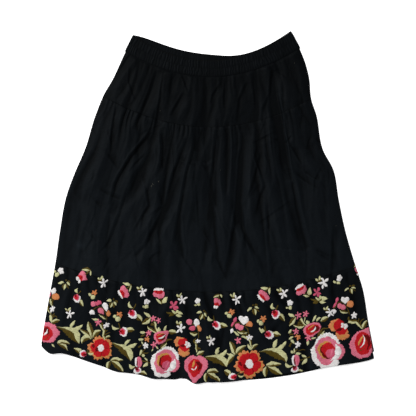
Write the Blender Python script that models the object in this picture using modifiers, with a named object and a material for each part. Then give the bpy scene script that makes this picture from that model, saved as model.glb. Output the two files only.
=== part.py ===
# A tiered maxi skirt laid flat: an elasticated waistband with two shirred channels, then three tiers,
# each gathered to the one above. X runs across the skirt, +Y to the waist and +Z up from the surface it lies on.
from collections import namedtuple

import bpy
import numpy as np

MM = 0.001

# Cloth and its layers, in millimetres
BACK_CLOTH = 1.2
FRONT_CLOTH = 1.6
BAND = 2.5
LAYER_GAP = 0.4
SEAM_GAP = 0.4
RIB_HEIGHT = 1.1
RIBS = 56
BAND_JOIN = (-0.04, 0.08)  # the plain stretch of the front band where its strip is joined
COLUMNS_A_RIB = 3
COLUMNS_A_GATHER = 4
BACK_COLUMNS = 28
SIDE_ROUNDING = 22  # the power that drops the front layer onto the back one at its sides
BACK_RISE_END = 0.17  # the share of the half width to the right of which the back layer's line comes down
BACK_RISE_BLEND = 0.25

# A line across the laid skirt from its left edge to its right edge. Sag is how far the middle of the line
# hangs below its ends, puff is how high the front layer stands above the back one, and back_rise is how much
# higher the back layer's own line runs.
Section = namedtuple("Section", "name left_x left_y right_x right_y sag puff back_rise")
SECTIONS = [
    Section("waist", -192, 448, 215, 458, 70, 1.6, 18),
    Section("band_seam", -213, 405, 239, 413, 70, 1.6, 17),
    Section("hip", -248, 330, 264, 336, 73, 2.4, 12),
    Section("hip_seam", -270, 292, 269, 284, 77, 2.0, 9),
    Section("under_hip", -291, 240, 283, 240, 77, 2.8, 6),
    Section("left_hollow", -319, 150, 300, 150, 75, 3.2, 4),
    Section("left_bulge", -344, 92, 327, 98, 75, 3.2, 2),
    Section("thigh", -368, 25, 341, 20, 74, 3.2, 0),
    Section("knee", -384, -64, 359, -64, 72, 3.0, 0),
    Section("border_seam", -395, -142, 384, -150, 71, 2.0, 0),
    Section("border_top", -408, -214, 404, -214, 76, 2.4, 0),
    Section("border_low", -423, -298, 418, -298, 81, 2.4, 0),
    Section("hem", -432, -354, 433, -374, 89, 1.6, 5),
]

# A tier runs from one seam to the next. Gathers are the tucks along its upper seam, gather_height is how far
# they stand up, gather_reach is how far down they fade out, and rows are the shares of its depth at which
# its walls get a row of points.
Tier = namedtuple("Tier", "name top foot gathers gather_height gather_reach rows back_rows")
TIERS = [
    Tier("upper_tier", "band_seam", "hip_seam", 26, 3.0, 55, (0, 0.07, 0.2, 0.45, 0.75, 1), 3),
    Tier(
        "middle_tier", "hip_seam", "border_seam", 34, 3.6, 80, (0, 0.025, 0.08, 0.18, 0.33, 0.5, 0.68, 0.85, 1), 8
    ),
    Tier("border_tier", "border_seam", "hem", 26, 2.2, 90, (0, 0.05, 0.18, 0.38, 0.6, 0.82, 1), 5),
]

# The long folds of the front layer, each from its top to its foot. Bow bends the fold's middle to the right,
# reach is its half width and rise is its height, below zero for a trough.
Fold = namedtuple("Fold", "top_x top_y foot_x foot_y bow reach rise")
FOLDS = [
    Fold(-128, 360, -168, 250, 5, 9, -2.6),
    Fold(-112, 350, -118, 240, 0, 8, 2.4),
    Fold(170, 355, 178, 215, -8, 12, -3.0),
    Fold(-135, 190, -250, -20, 14, 13, -4.2),
    Fold(-118, 180, -225, -40, 20, 14, 3.6),
    Fold(-55, 180, -190, -130, 26, 12, -4.0),
    Fold(-38, 150, -92, -115, 8, 13, 3.8),
    Fold(18, 190, -10, -120, 6, 12, -3.4),
    Fold(92, 195, 42, -190, 14, 12, -4.2),
    Fold(110, 190, 66, -170, 16, 14, 3.8),
    Fold(182, 215, 262, -150, -16, 15, -4.6),
    Fold(205, 190, 240, -60, -8, 14, 3.2),
    Fold(84, 0, 158, -190, -8, 10, -2.8),
    Fold(332, -15, 325, -165, 6, 10, -2.6),
    Fold(-300, 145, -372, -60, -6, 12, -3.0),
]

# Where the hem's edge leaves its smooth curve: the share of the half width at which it does so, how wide the
# stretch is, how far it drops, and how far it lifts off the back layer.
Flute = namedtuple("Flute", "at reach drop lift")
HEM_FLUTES = [
    Flute(-0.95, 0.055, 15, 4.0),
    Flute(-0.55, 0.07, 5, 3.0),
    Flute(-0.33, 0.05, 4, 4.5),
    Flute(-0.14, 0.04, -8, 2.0),
    Flute(-0.075, 0.05, 6, 5.0),
    Flute(0.10, 0.09, 1, 3.5),
    Flute(0.42, 0.22, -8, 3.0),
    Flute(1.0, 0.18, 18, 3.0),
]
FLUTE_DEPTH = 70  # how far up from the hem a flute reaches

COLOURS = {
    "shirred_cloth": (0.010, 0.012, 0.013, 1),
    "black_poplin": (0.012, 0.014, 0.015, 1),
    "embroidered_cloth": (0.011, 0.013, 0.014, 1),
}


def centre_y(section):
    """The height on the sheet of a section's middle."""
    return (section.left_y + section.right_y) / 2 - section.sag


DEPTHS = np.array([centre_y(SECTIONS[0]) - centre_y(section) for section in SECTIONS])
DEPTH_OF = {section.name: depth for section, depth in zip(SECTIONS, DEPTHS)}
COLUMNS = {
    field: np.array([getattr(section, field) for section in SECTIONS], float)
    for field in Section._fields[1:]
}


def column_at(field, depth):
    """One column of the section table at any depth below the waist, on a smooth curve through its rows."""
    values = COLUMNS[field]
    slopes = np.gradient(values, DEPTHS)
    row = np.clip(np.searchsorted(DEPTHS, depth, side="right") - 1, 0, len(DEPTHS) - 2)
    step = DEPTHS[row + 1] - DEPTHS[row]
    t = (depth - DEPTHS[row]) / step
    return (
        (2 * t**3 - 3 * t**2 + 1) * values[row]
        + (t**3 - 2 * t**2 + t) * step * slopes[row]
        + (3 * t**2 - 2 * t**3) * values[row + 1]
        + (t**3 - t**2) * step * slopes[row + 1]
    )


def plan_point(u, depth, back=False):
    """Where a point lies on the sheet: u runs from -1 at the left edge to 1 at the right edge."""
    share = (u + 1) / 2
    x = column_at("left_x", depth) * (1 - share) + column_at("right_x", depth) * share
    y = column_at("left_y", depth) * (1 - share) + column_at("right_y", depth) * share
    y = y - column_at("sag", depth) * (1 - u**2)
    if back:
        on_the_left = 0.5 - 0.5 * np.tanh((u - BACK_RISE_END) / BACK_RISE_BLEND)
        y = y + column_at("back_rise", depth) * (1 - u**6) * on_the_left
    if not back:
        above_hem = (DEPTH_OF["hem"] - depth) / FLUTE_DEPTH
        for flute in HEM_FLUTES:
            y = y - flute.drop * bell((u - flute.at) / flute.reach) * bell(above_hem)
    return x, y


def bell(distance):
    return np.exp(-(distance**2))


def fold_height(x, y):
    """The long folds: each is a bell across a bowed line, and fades out at both its ends."""
    height = np.zeros_like(x)
    for fold in FOLDS:
        along_x, along_y = fold.foot_x - fold.top_x, fold.foot_y - fold.top_y
        length = np.hypot(along_x, along_y)
        t = ((x - fold.top_x) * along_x + (y - fold.top_y) * along_y) / length**2
        across = ((y - fold.top_y) * along_x - (x - fold.top_x) * along_y) / length
        inside = np.clip(t, 0, 1)
        fade = np.sin(np.pi * inside) ** 0.6
        height = height + fold.rise * fade * bell((across - fold.bow * 4 * inside * (1 - inside)) / fold.reach)
    return height


def gather_height(tier, phase, depth):
    """The tucks below a tier's upper seam: a wave that starts flat at the seam, stands up and fades out."""
    below = depth - DEPTH_OF[tier.top]
    envelope = (1 - np.exp(-below / 6)) * np.exp(-below / tier.gather_reach)
    unevenness = 0.75 + 0.25 * np.sin(0.9 * phase) * np.cos(0.37 * phase + 1)
    return tier.gather_height * envelope * unevenness * (0.5 - 0.5 * np.cos(2 * np.pi * phase))


def gather_position(tier, phase):
    """Where along the line a tuck's phase falls: the tucks are crowded in some places and spread in others."""
    even = 2 * phase / tier.gathers - 1
    return even + 0.035 * np.sin(np.pi * even) * np.cos(3 * np.pi * even)


def front_height(tier, u, phase, depth, x, y):
    """How high the outside of the front layer lies."""
    lift = column_at("puff", depth) + fold_height(x, y)
    above_hem = (DEPTH_OF["hem"] - depth) / FLUTE_DEPTH
    for flute in HEM_FLUTES:
        lift = lift + flute.lift * bell((u - flute.at) / flute.reach) * bell(above_hem)
    lift = lift + gather_height(tier, phase, depth)
    at_the_side = 1 - np.abs(u) ** SIDE_ROUNDING
    return BACK_CLOTH + LAYER_GAP + FRONT_CLOTH + np.maximum(lift, 0) * at_the_side


def tier_depths(tier, shares):
    """The depths of a tier's rows, held back from both of its seams by half a gap."""
    top = DEPTH_OF[tier.top] + SEAM_GAP / 2
    foot = DEPTH_OF[tier.foot] - (0 if tier.foot == "hem" else SEAM_GAP / 2)
    return top + (foot - top) * np.array(shares, float)


def grid_faces(rows, columns, closed=False):
    """The four corners of each cell of a grid of points, numbered row by row."""
    last = columns if closed else columns - 1
    r, c = np.meshgrid(np.arange(rows - 1), np.arange(last), indexing="ij")
    r, c = r.ravel(), c.ravel()
    right = (c + 1) % columns
    return np.stack([r * columns + c, (r + 1) * columns + c, (r + 1) * columns + right, r * columns + right], 1)


def new_object(name, points, faces, material):
    mesh = bpy.data.meshes.new(name)
    mesh.from_pydata((points * MM).tolist(), [], faces.tolist())
    mesh.materials.append(material)
    mesh.shade_smooth()
    piece = bpy.data.objects.new(name, mesh)
    skirt.objects.link(piece)
    return piece


def panel(name, x, y, z, cloth, material):
    """A cloth panel: an open sheet through a grid of points, thickened downwards by its cloth."""
    rows, columns = x.shape
    points = np.stack([x, y, z], -1).reshape(-1, 3)
    piece = new_object(name, points, grid_faces(rows, columns), material)
    wall = piece.modifiers.new("Wall", "SOLIDIFY")
    wall.thickness = cloth * MM
    wall.offset = -1
    wall.use_even_offset = True
    return piece


def front_panel(tier, material):
    columns = np.arange(tier.gathers * COLUMNS_A_GATHER + 1) / COLUMNS_A_GATHER
    depth, phase = np.meshgrid(tier_depths(tier, tier.rows), columns, indexing="ij")
    u = gather_position(tier, phase)
    x, y = plan_point(u, depth)
    z = front_height(tier, u, phase, depth, x, y)
    return panel(tier.name + "_front", x, y, z, FRONT_CLOTH, material)


def back_panel(tier, material):
    shares = np.linspace(0, 1, tier.back_rows + 1)
    depth, u = np.meshgrid(tier_depths(tier, shares), np.linspace(-1, 1, BACK_COLUMNS + 1), indexing="ij")
    x, y = plan_point(u, depth, back=True)
    return panel(tier.name + "_back", x, y, np.full_like(x, BACK_CLOTH), BACK_CLOTH, material)


def band_loop():
    """The flattened loop of the band, once round: u, which layer a point is on (1 front, 0 back, between them
    on the folded sides), and the phase of the ribs, below zero where there are none."""
    front = np.arange(RIBS * COLUMNS_A_RIB + 1)
    turn = np.linspace(0, np.pi, 5)[1:-1]
    back = np.linspace(1, -1, BACK_COLUMNS + 1)
    u = np.concatenate([2 * front / front[-1] - 1, np.ones(3), back, -np.ones(3)])
    layer = np.concatenate([np.ones(len(front)), turn_share(turn), np.zeros(len(back)), turn_share(turn)[::-1]])
    outward = np.concatenate([np.zeros(len(front)), np.sin(turn), np.zeros(len(back)), -np.sin(turn)])
    phase = np.concatenate([front / COLUMNS_A_RIB, -np.ones(6 + len(back))])
    return u, layer, outward, phase


def turn_share(angle):
    return 0.5 + 0.5 * np.cos(angle)


def waistband(material):
    """The elastic's casing, a closed loop laid flat: its outer points carry the shirring over a plain inside."""
    u, layer, outward, phase = band_loop()
    shares = np.array([0, 0.25, 0.5, 0.75, 1])
    foot = DEPTH_OF["band_seam"] - SEAM_GAP / 2
    depth, u = np.meshgrid(shares * foot, u, indexing="ij")
    front_x, front_y = plan_point(u, depth)
    back_x, back_y = plan_point(u, depth, back=True)
    x = front_x * layer + back_x * (1 - layer)
    y = front_y * layer + back_y * (1 - layer)
    half = (BAND + LAYER_GAP) / 2
    centre_z = BAND / 2 + 2 * half * layer
    x = x + outward * half
    # Which way the wall faces: up on the front, down on the back, and outwards on the folded sides
    angle = np.arccos(np.clip(2 * layer - 1, -1, 1))
    facing_x = np.sign(outward) * np.sin(angle)
    facing_z = np.cos(angle)
    ribs = np.sin(np.pi * phase) ** 2 * (phase >= 0)
    inside_join = (u > BAND_JOIN[0]) & (u < BAND_JOIN[1])
    channel = np.array([0, 1, 0, 1, 0])[:, None]
    raised = RIB_HEIGHT * channel * ribs * np.where(inside_join, 0.15, 1)
    outer = BAND / 2 + raised
    grid = [
        np.stack([x + facing_x * offset, y, centre_z + facing_z * offset], -1)
        for offset in (outer, np.full_like(outer, -BAND / 2))
    ]
    rows, columns = x.shape
    outside = grid_faces(rows, columns, closed=True)
    inside = grid_faces(2, columns, closed=True)[:, ::-1] + rows * columns
    top, foot_row = np.arange(columns), np.arange(columns) + (rows - 1) * columns
    inner_top = np.arange(columns) + rows * columns
    inner_foot = inner_top + columns
    rims = [
        np.stack([inner_top, top, np.roll(top, -1), np.roll(inner_top, -1)], 1),
        np.stack([foot_row, inner_foot, np.roll(inner_foot, -1), np.roll(foot_row, -1)], 1),
    ]
    points = np.concatenate([grid[0].reshape(-1, 3), grid[1][[0, -1]].reshape(-1, 3)])
    return new_object("waistband", points, np.concatenate([outside, inside, *rims]), material)


def cloth_material(name):
    material = bpy.data.materials.new(name)
    material.use_nodes = True
    shader = material.node_tree.nodes["Principled BSDF"]
    shader.inputs["Base Color"].default_value = COLOURS[name]
    shader.inputs["Roughness"].default_value = 0.85
    shader.inputs["Metallic"].default_value = 0
    return material


for old in list(bpy.data.objects):
    bpy.data.objects.remove(old)
skirt = bpy.data.collections.new("maxi_skirt")
bpy.context.scene.collection.children.link(skirt)

poplin = cloth_material("black_poplin")
embroidered = cloth_material("embroidered_cloth")
waistband(cloth_material("shirred_cloth"))
for tier in TIERS:
    cloth = embroidered if tier.foot == "hem" else poplin
    front_panel(tier, cloth)
    back_panel(tier, cloth)
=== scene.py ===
from collections import namedtuple

import bpy
import numpy as np
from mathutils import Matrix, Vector


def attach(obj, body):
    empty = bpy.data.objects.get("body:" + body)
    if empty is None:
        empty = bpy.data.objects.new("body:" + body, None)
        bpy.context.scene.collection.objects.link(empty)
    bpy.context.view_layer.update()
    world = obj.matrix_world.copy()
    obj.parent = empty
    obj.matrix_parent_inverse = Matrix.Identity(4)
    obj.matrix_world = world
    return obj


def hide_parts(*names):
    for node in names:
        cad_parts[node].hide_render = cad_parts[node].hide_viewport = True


# A black tiered maxi skirt laid flat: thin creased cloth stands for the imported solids, with a shirred
# waistband, sewing, and satin-stitch flowers along the border tier. Lengths are in millimetres.
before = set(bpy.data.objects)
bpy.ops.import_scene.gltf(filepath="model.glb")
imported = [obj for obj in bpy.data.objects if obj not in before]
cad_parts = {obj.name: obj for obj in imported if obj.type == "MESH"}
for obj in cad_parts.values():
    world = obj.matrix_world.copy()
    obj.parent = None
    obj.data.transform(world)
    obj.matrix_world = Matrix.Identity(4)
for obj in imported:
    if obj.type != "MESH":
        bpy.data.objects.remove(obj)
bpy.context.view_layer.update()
mm = 0.001


# Form shared with the solids

# Heights of the layers, where room is how much higher the front lies so that deep creases fit and sunk is how
# far below its top the lowest of them end. Roll is how far from a side the cloth starts to turn down.
layers = {
    "backUnder": 0.95, "backTop": 1.2, "side": 1.7, "frontTop": 3.2, "sunk": 0.8, "room": 1.5, "roll": 4.0,
}
sideRounding = 22
backRise = {"end": 0.17, "blend": 0.25}  # the back's own line runs higher, up to a little right of the middle

Section = namedtuple("Section", "leftX leftY rightX rightY sag puff rise")
sections = {
    "waist": Section(-192, 448, 215, 458, 70, 1.6, 18),
    "bandSeam": Section(-213, 405, 239, 413, 70, 1.6, 17),
    "hip": Section(-248, 330, 264, 336, 73, 2.4, 12),
    "hipSeam": Section(-270, 292, 269, 284, 77, 2.0, 9),
    "underHip": Section(-291, 240, 283, 240, 77, 2.8, 6),
    "leftHollow": Section(-319, 150, 300, 150, 75, 3.2, 4),
    "leftBulge": Section(-344, 92, 327, 98, 75, 3.2, 2),
    "thigh": Section(-368, 25, 341, 20, 74, 3.2, 0),
    "knee": Section(-384, -64, 359, -64, 72, 3.0, 0),
    "borderSeam": Section(-395, -142, 384, -150, 71, 2.0, 0),
    "borderTop": Section(-408, -214, 404, -214, 76, 2.4, 0),
    "borderLow": Section(-423, -298, 418, -298, 81, 2.4, 0),
    "hem": Section(-432, -354, 433, -374, 89, 1.6, 5),
}
middles = [(s.leftY + s.rightY) / 2 - s.sag for s in sections.values()]
depths = np.array([middles[0] - middle for middle in middles])
depthOf = dict(zip(sections, depths))
columns = {
    field: np.array([getattr(section, field) for section in sections.values()], float)
    for field in Section._fields
}

Flute = namedtuple("Flute", "at reach drop lift")
fluteDepth = 70
hemFlutes = [
    Flute(-0.95, 0.055, 15, 4.0),
    Flute(-0.55, 0.07, 5, 3.0),
    Flute(-0.33, 0.05, 4, 4.5),
    Flute(-0.14, 0.04, -8, 2.0),
    Flute(-0.075, 0.05, 6, 5.0),
    Flute(0.10, 0.09, 1, 3.5),
    Flute(0.42, 0.22, -8, 3.0),
    Flute(1.0, 0.18, 18, 3.0),
]

Fold = namedtuple("Fold", "topX topY footX footY bow reach rise")
longFolds = [
    (-128, 360, -168, 250, 5, 9, -2.6),
    (-112, 350, -118, 240, 0, 8, 2.4),
    (170, 355, 178, 215, -8, 12, -3.0),
    (-135, 190, -250, -20, 14, 13, -4.2),
    (-118, 180, -225, -40, 20, 14, 3.6),
    (-55, 180, -190, -130, 26, 12, -4.0),
    (-38, 150, -92, -115, 8, 13, 3.8),
    (18, 190, -10, -120, 6, 12, -3.4),
    (92, 195, 42, -190, 14, 12, -4.2),
    (110, 190, 66, -170, 16, 14, 3.8),
    (182, 215, 262, -150, -16, 15, -4.6),
    (205, 190, 240, -60, -8, 14, 3.2),
    (84, 0, 158, -190, -8, 10, -2.8),
    (332, -15, 325, -165, 6, 10, -2.6),
    (-300, 145, -372, -60, -6, 12, -3.0),
]

Tier = namedtuple("Tier", "top foot gathers height reach cut")
tiers = {
    "upper": Tier("bandSeam", "hipSeam", 26, 1.3, 42, (0.600, 0.135)),
    "middle": Tier("hipSeam", "borderSeam", 34, 3.2, 52, (0.850, 0.440)),
    "border": Tier("borderSeam", "hem", 26, 4.4, 80, (0.950, 0.250)),
}

# The chart that the creases and the border's flowers are placed on: squares of one size, its columns counted
# from its left side and its rows from its top, with the skirt's middle at (middle, middle).
chart = {"square": 2.6, "middle": 207.5}


def onChart(column, row):
    x = (np.asarray(column, float) - chart["middle"]) * chart["square"]
    return x, (chart["middle"] - np.asarray(row, float)) * chart["square"]


def bell(distance):
    return np.exp(-(distance**2))


latticeSize = 97


# The cell of a lattice of seeded random values from -1 to 1 that a place lies in: its four corners, how far
# across and down it the place lies, and whether it is an even cell
def latticeCell(x, y, seed):
    lattice = np.random.default_rng(seed).uniform(-1, 1, (latticeSize, latticeSize))
    column, row = np.floor(x).astype(int), np.floor(y).astype(int)
    here, right = (lattice[(column + step) % latticeSize, row % latticeSize] for step in (0, 1))
    below, corner = (lattice[(column + step) % latticeSize, (row + 1) % latticeSize] for step in (0, 1))
    return here, right, below, corner, x - column, y - row, (column + row) % 2 == 0


# Value noise from -1 to 1: the lattice's values, joined by smooth steps
def noise(x, y, seed):
    here, right, below, corner, across, down, _ = latticeCell(x, y, seed)
    across = across**2 * (3 - 2 * across)
    down = down**2 * (3 - 2 * down)
    return (here * (1 - down) + below * down) * (1 - across) + (right * (1 - down) + corner * down) * across


# A column of the section table at any depth below the waist: a cubic through the rows, with matching slopes
def columnAt(field, depth):
    values = columns[field]
    slopes = np.gradient(values, depths)
    row = np.clip(np.searchsorted(depths, depth, side="right") - 1, 0, len(depths) - 2)
    step = depths[row + 1] - depths[row]
    t = (depth - depths[row]) / step
    rising = 3 * t**2 - 2 * t**3
    bent = (t**3 - 2 * t**2 + t) * slopes[row] + (t**3 - t**2) * slopes[row + 1]
    return values[row] * (1 - rising) + values[row + 1] * rising + bent * step


# Where a point of a layer lies on the sheet: u from -1 at the left edge to 1 at the right edge, depth below
# the waist; the line through equal depths is a parabola that sags in its middle
def planPoint(u, depth, back=False):
    share = (u + 1) / 2
    x = columnAt("leftX", depth) * (1 - share) + columnAt("rightX", depth) * share
    y = columnAt("leftY", depth) * (1 - share) + columnAt("rightY", depth) * share
    y = y - columnAt("sag", depth) * (1 - u**2)
    if back:
        onTheLeft = 0.5 - 0.5 * np.tanh((u - backRise["end"]) / backRise["blend"])
        return x, y + columnAt("rise", depth) * (1 - u**6) * onTheLeft
    aboveHem = (depthOf["hem"] - depth) / fluteDepth
    for flute in hemFlutes:
        y = y - flute.drop * bell((u - flute.at) / flute.reach) * bell(aboveHem)
    return x, y


# The u and depth of a place on the sheet, by halving the span of depths in which it lies
def sheetPlace(x, y, back=False):
    high, low = np.full_like(x, depths[0] - 30), np.full_like(x, depths[-1] + 40)
    for _ in range(22):
        depth = (high + low) / 2
        left, right = columnAt("leftX", depth), columnAt("rightX", depth)
        u = 2 * (x - left) / (right - left) - 1
        below = planPoint(np.clip(u, -1.3, 1.3), depth, back)[1] > y
        high, low = np.where(below, depth, high), np.where(below, low, depth)
    return u, depth


# Creases

# Each crease is a trough of two flat flanks along its path on the chart. Its width sets that of a flank,
# times left or right: as a rule it falls steeply on its left and rises slowly on its right.
Crease = namedtuple("Crease", "sink width path left right", defaults=(1, 3.2))
creases = [
    (3.6, 5, [(158, 69), (152, 90), (143, 111), (135, 131)]),
    (2.6, 3, [(164.6, 71), (160, 99), (157, 118), (154, 136)]),
    (1.4, 3, [(173, 73), (170, 95)]),
    (1.6, 3, [(182, 73), (188, 92)]),
    (2.6, 4, [(184, 93), (171, 117)]),
    (1.6, 3, [(130, 63), (130, 82), (136, 101)]),
    (3.6, 3.5, [(134, 52), (126, 61), (118, 72), (111, 86)]),
    (3.6, 5, [(272.5, 70), (271.6, 90), (273, 104)]),
    (2.0, 3, [(252, 78), (255.5, 100), (258, 120)]),
    (2.0, 4, [(248, 82), (239.5, 100), (237, 123)]),
    (1.8, 2.5, [(224.5, 78), (224.7, 109)]),
    (1.6, 3, [(221.6, 82), (213, 96), (210, 105)]),
    (1.8, 4, [(271, 93), (264, 109), (262, 127)]),
    (1.4, 3, [(276, 70), (288, 79)]),
    (2.4, 3, [(117.5, 100), (113, 130), (111, 153)]),
    (5.0, 5, [(154, 130), (145, 142), (132, 157), (123, 172), (116.5, 185), (111, 206)]),
    (2.6, 5, [(129, 188), (121, 214), (115, 229), (106, 249)]),
    (2.0, 4, [(147, 136), (136, 153)]),
    (4.6, 4, [(162, 128), (164, 146), (162, 162), (157, 178)], 1.4, 5),
    (3.8, 5, [(187, 137), (174, 175), (168, 202), (161, 218), (152, 233), (146, 246), (132, 259)]),
    (3.8, 5, [(197.7, 128), (194, 150), (188, 170), (183, 198), (178, 224), (174, 249)]),
    (3.0, 4, [(178, 212), (180, 238), (183, 259)], 2.5, 1.5),
    (2.0, 6, [(98, 146), (82, 175), (69, 202)]),
    (5.0, 4, [(229, 122), (228.4, 145), (228, 168), (226, 196)], 5, 1.2),
    (2.0, 4, [(217, 130), (215, 150), (211, 190)]),
    (4.2, 5, [(243, 132), (240, 175), (238, 208), (231.5, 246), (225, 279)]),
    (3.2, 4, [(212.5, 203), (214.5, 232), (219, 265)], 2.8, 1.5),
    (3.4, 4, [(238, 200), (242, 225), (246, 248)], 3, 1.5),
    (1.8, 4, [(212, 190), (219, 213), (229, 238)]),
    (4.8, 4, [(265, 124), (267.5, 148), (269.5, 165), (272, 184)], 4.6, 1.4),
    (7.0, 4, [(275, 88), (280, 112), (283, 134), (287, 160), (290.5, 181)], 4.6, 1.1),
    (5.0, 4, [(288, 168), (293, 189), (296.5, 207), (301, 228), (308, 250)], 4.4, 1.8),
    (2.2, 3, [(290, 145), (303, 165)]),
    (1.8, 3, [(305, 172), (320, 181)]),
    (2.2, 4, [(256, 126), (256, 153), (265, 186), (254, 218)]),
    (2.4, 4, [(263, 150), (252, 190), (243, 208)]),
    (2.0, 5, [(239, 204), (246, 238), (261, 262), (266, 279)]),
    (2.4, 5, [(267, 190), (269, 240), (273, 279)]),
    (2.2, 4, [(334, 224), (331, 279)]),
    (1.8, 5, [(315, 251), (331, 262)]),
    (1.6, 5, [(92, 212), (84, 236), (80, 262)]),
    (1.4, 5, [(203, 214), (206, 240), (204, 270)]),
    (1.4, 5, [(340, 186), (346, 214), (350, 240)]),
    (1.0, 4, [(192, 160), (207, 163), (216, 157)]),
    (1.6, 4, [(105, 150), (121, 172)]),
    (2.4, 4, [(142, 168), (150, 206), (134, 232)]),
    (1.6, 4, [(158, 190), (164, 206), (149, 218)]),
    (1.4, 6, [(78, 262), (70, 300), (60, 340)]),
    (1.2, 6, [(128, 282), (122, 320), (118, 352)]),
    (1.4, 6, [(186, 290), (188, 330), (194, 372)]),
    (1.4, 6, [(231, 292), (230, 330), (226, 372)]),
    (1.2, 6, [(308, 282), (312, 320), (318, 356)]),
    (1.4, 6, [(346, 270), (352, 300), (360, 330)]),
]

# Small creases between them, a seeded scatter over the cloth: most run down the skirt and fan out with it, a
# share lie aslant, and those above calmRow are shallower
scatter = {
    "count": 120, "seed": 12, "columns": (70, 350), "rows": (85, 275), "length": (12, 42),
    "width": (1.6, 3.2), "sink": (0.5, 1.4), "calmRow": 125, "calm": 0.4, "fan": 420, "lean": 0.35,
    "bow": 0.12, "aslantShare": 0.2, "aslant": 0.8,
}


def smallCreases():
    chance = np.random.default_rng(scatter["seed"])
    for _ in range(scatter["count"]):
        column, row = chance.uniform(*scatter["columns"]), chance.uniform(*scatter["rows"])
        lean = (column - chart["middle"]) / scatter["fan"] + chance.normal(0, scatter["lean"])
        lean = lean + (chance.uniform() < scatter["aslantShare"]) * chance.choice([-1, 1]) * scatter["aslant"]
        half = chance.uniform(*scatter["length"]) / 2
        bow = chance.normal(0, scatter["bow"]) * half
        aside, along = half * np.sin(lean), half * np.cos(lean)
        path = [(column - aside, row - along), (column + bow, row), (column + aside, row + along)]
        sink = chance.uniform(*scatter["sink"]) * (scatter["calm"] if row < scatter["calmRow"] else 1)
        yield sink, chance.uniform(*scatter["width"]), path


# Distance to the path, signed by side, and how far along it the nearest point is
def alongPath(x, y, path):
    px, py = onChart(*zip(*path))
    lengths = np.hypot(np.diff(px), np.diff(py))
    starts = np.concatenate([[0], np.cumsum(lengths)])
    nearest, side, along = np.full_like(x, 1e9), np.ones_like(x), np.zeros_like(x)
    for i, length in enumerate(lengths):
        dx, dy = (px[i + 1] - px[i]) / length, (py[i + 1] - py[i]) / length
        t = (x - px[i]) * dx + (y - py[i]) * dy
        inside = np.clip(t, 0, length)
        gap = np.hypot(x - px[i] - inside * dx, y - py[i] - inside * dy)
        closer = gap < nearest
        nearest = np.where(closer, gap, nearest)
        side = np.where(closer, np.sign((y - py[i]) * dx - (x - px[i]) * dy), side)
        along = np.where(closer, starts[i] + inside, along)
    return nearest * side, along / starts[-1]


# Each crease is two flat flanks that meet in a sharp line, and its outer edges stand a little high, as a lip.
# It wanders a little off its path and fades out towards both its ends.
creaseForm = {
    "lip": 0.3, "flank": 1.6, "outside": 2.6, "taper": 0.6, "margin": 2.7, "spare": 6,
    "wander": 1.6, "wanderReach": 40, "seed": 11,
}


def creaseHeight(x, y):
    form, height = creaseForm, np.zeros_like(x)
    wander = form["wander"] * noise(x / form["wanderReach"], y / form["wanderReach"], form["seed"])
    for crease in (Crease(*row) for row in [*creases, *smallCreases()]):
        px, py = onChart(*zip(*crease.path))
        margin = form["margin"] * crease.width * max(crease.left, crease.right) + form["spare"]
        near = (x > min(px) - margin) & (x < max(px) + margin)
        near &= (y > min(py) - margin) & (y < max(py) + margin)
        if not near.any():
            continue
        distance, t = alongPath(x[near], y[near], crease.path)
        off = (distance + wander[near]) / crease.width
        off = np.abs(np.where(off < 0, off / crease.left, off / crease.right))
        profile = form["lip"] - (1 + form["lip"]) * np.clip(1 - off / form["flank"], 0, 1)
        fade = np.sin(np.pi * np.clip(t, 0, 1)) ** form["taper"] * np.clip(form["outside"] - off, 0, 1)
        height[near] += crease.sink * fade * profile
    return height


# Each long fold is a ridge or a trough with two flat flanks, along a line that bows, and tapers to its ends
foldForm = {"taper": 0.6, "crown": 1.05, "flank": 1.9}


def foldHeight(x, y):
    height = np.zeros_like(x)
    for fold in (Fold(*row) for row in longFolds):
        alongX, alongY = fold.footX - fold.topX, fold.footY - fold.topY
        length = np.hypot(alongX, alongY)
        t = np.clip(((x - fold.topX) * alongX + (y - fold.topY) * alongY) / length**2, 0, 1)
        across = ((y - fold.topY) * alongX - (x - fold.topX) * alongY) / length
        fade = np.sin(np.pi * t) ** foldForm["taper"]
        off = np.abs(across - fold.bow * 4 * t * (1 - t)) / fold.reach
        height += fold.rise * fade * np.clip(foldForm["crown"] - off / foldForm["flank"], 0, 1)
    return height


# Flat facets from -1 to 1: each cell of the lattice is split along one diagonal or the other
def facets(x, y, seed):
    here, right, below, corner, across, down, even = latticeCell(x, y, seed)
    nearHere = here + (right - here) * across + (below - here) * down
    nearCorner = corner + (below - corner) * (1 - across) + (right - corner) * (1 - down)
    nearRight = here + (right - here) * across + (corner - right) * down
    nearBelow = here + (corner - below) * across + (below - here) * down
    falling = np.where(across + down < 1, nearHere, nearCorner)
    rising = np.where(across > down, nearRight, nearBelow)
    return np.where(even, falling, rising)


# Slept-in cotton: flat facets that meet in sharp lines, at five sizes, long down the skirt, each pulled about
# by a slower noise so that no line runs straight, and calmer near the waist
crumpled = {
    "halfWidth": 400, "sizes": ((62, 140, 4.4), (30, 190, 3.4), (21, 44, 0.9), (11, 26, 0.35), (7, 15, 0.12)),
    "pull": (13, 26), "pullReach": (90, 120), "calm": 0.45, "calmReach": 110, "frontSeed": 21, "backSeed": 61,
}


def crumple(u, depth, seed):
    x, y = u * crumpled["halfWidth"], depth
    reachX, reachY = crumpled["pullReach"]
    pullX, pullY = (pull * noise(x / reachX, y / reachY, seed + i) for i, pull in enumerate(crumpled["pull"]))
    total = np.zeros_like(x)
    for wide, long, height in crumpled["sizes"]:
        total += height * facets((x + pullX) / wide, (y + pullY) / long, seed + wide)
    return total * (1 - (1 - crumpled["calm"]) * bell(depth / crumpled["calmReach"]))


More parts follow.
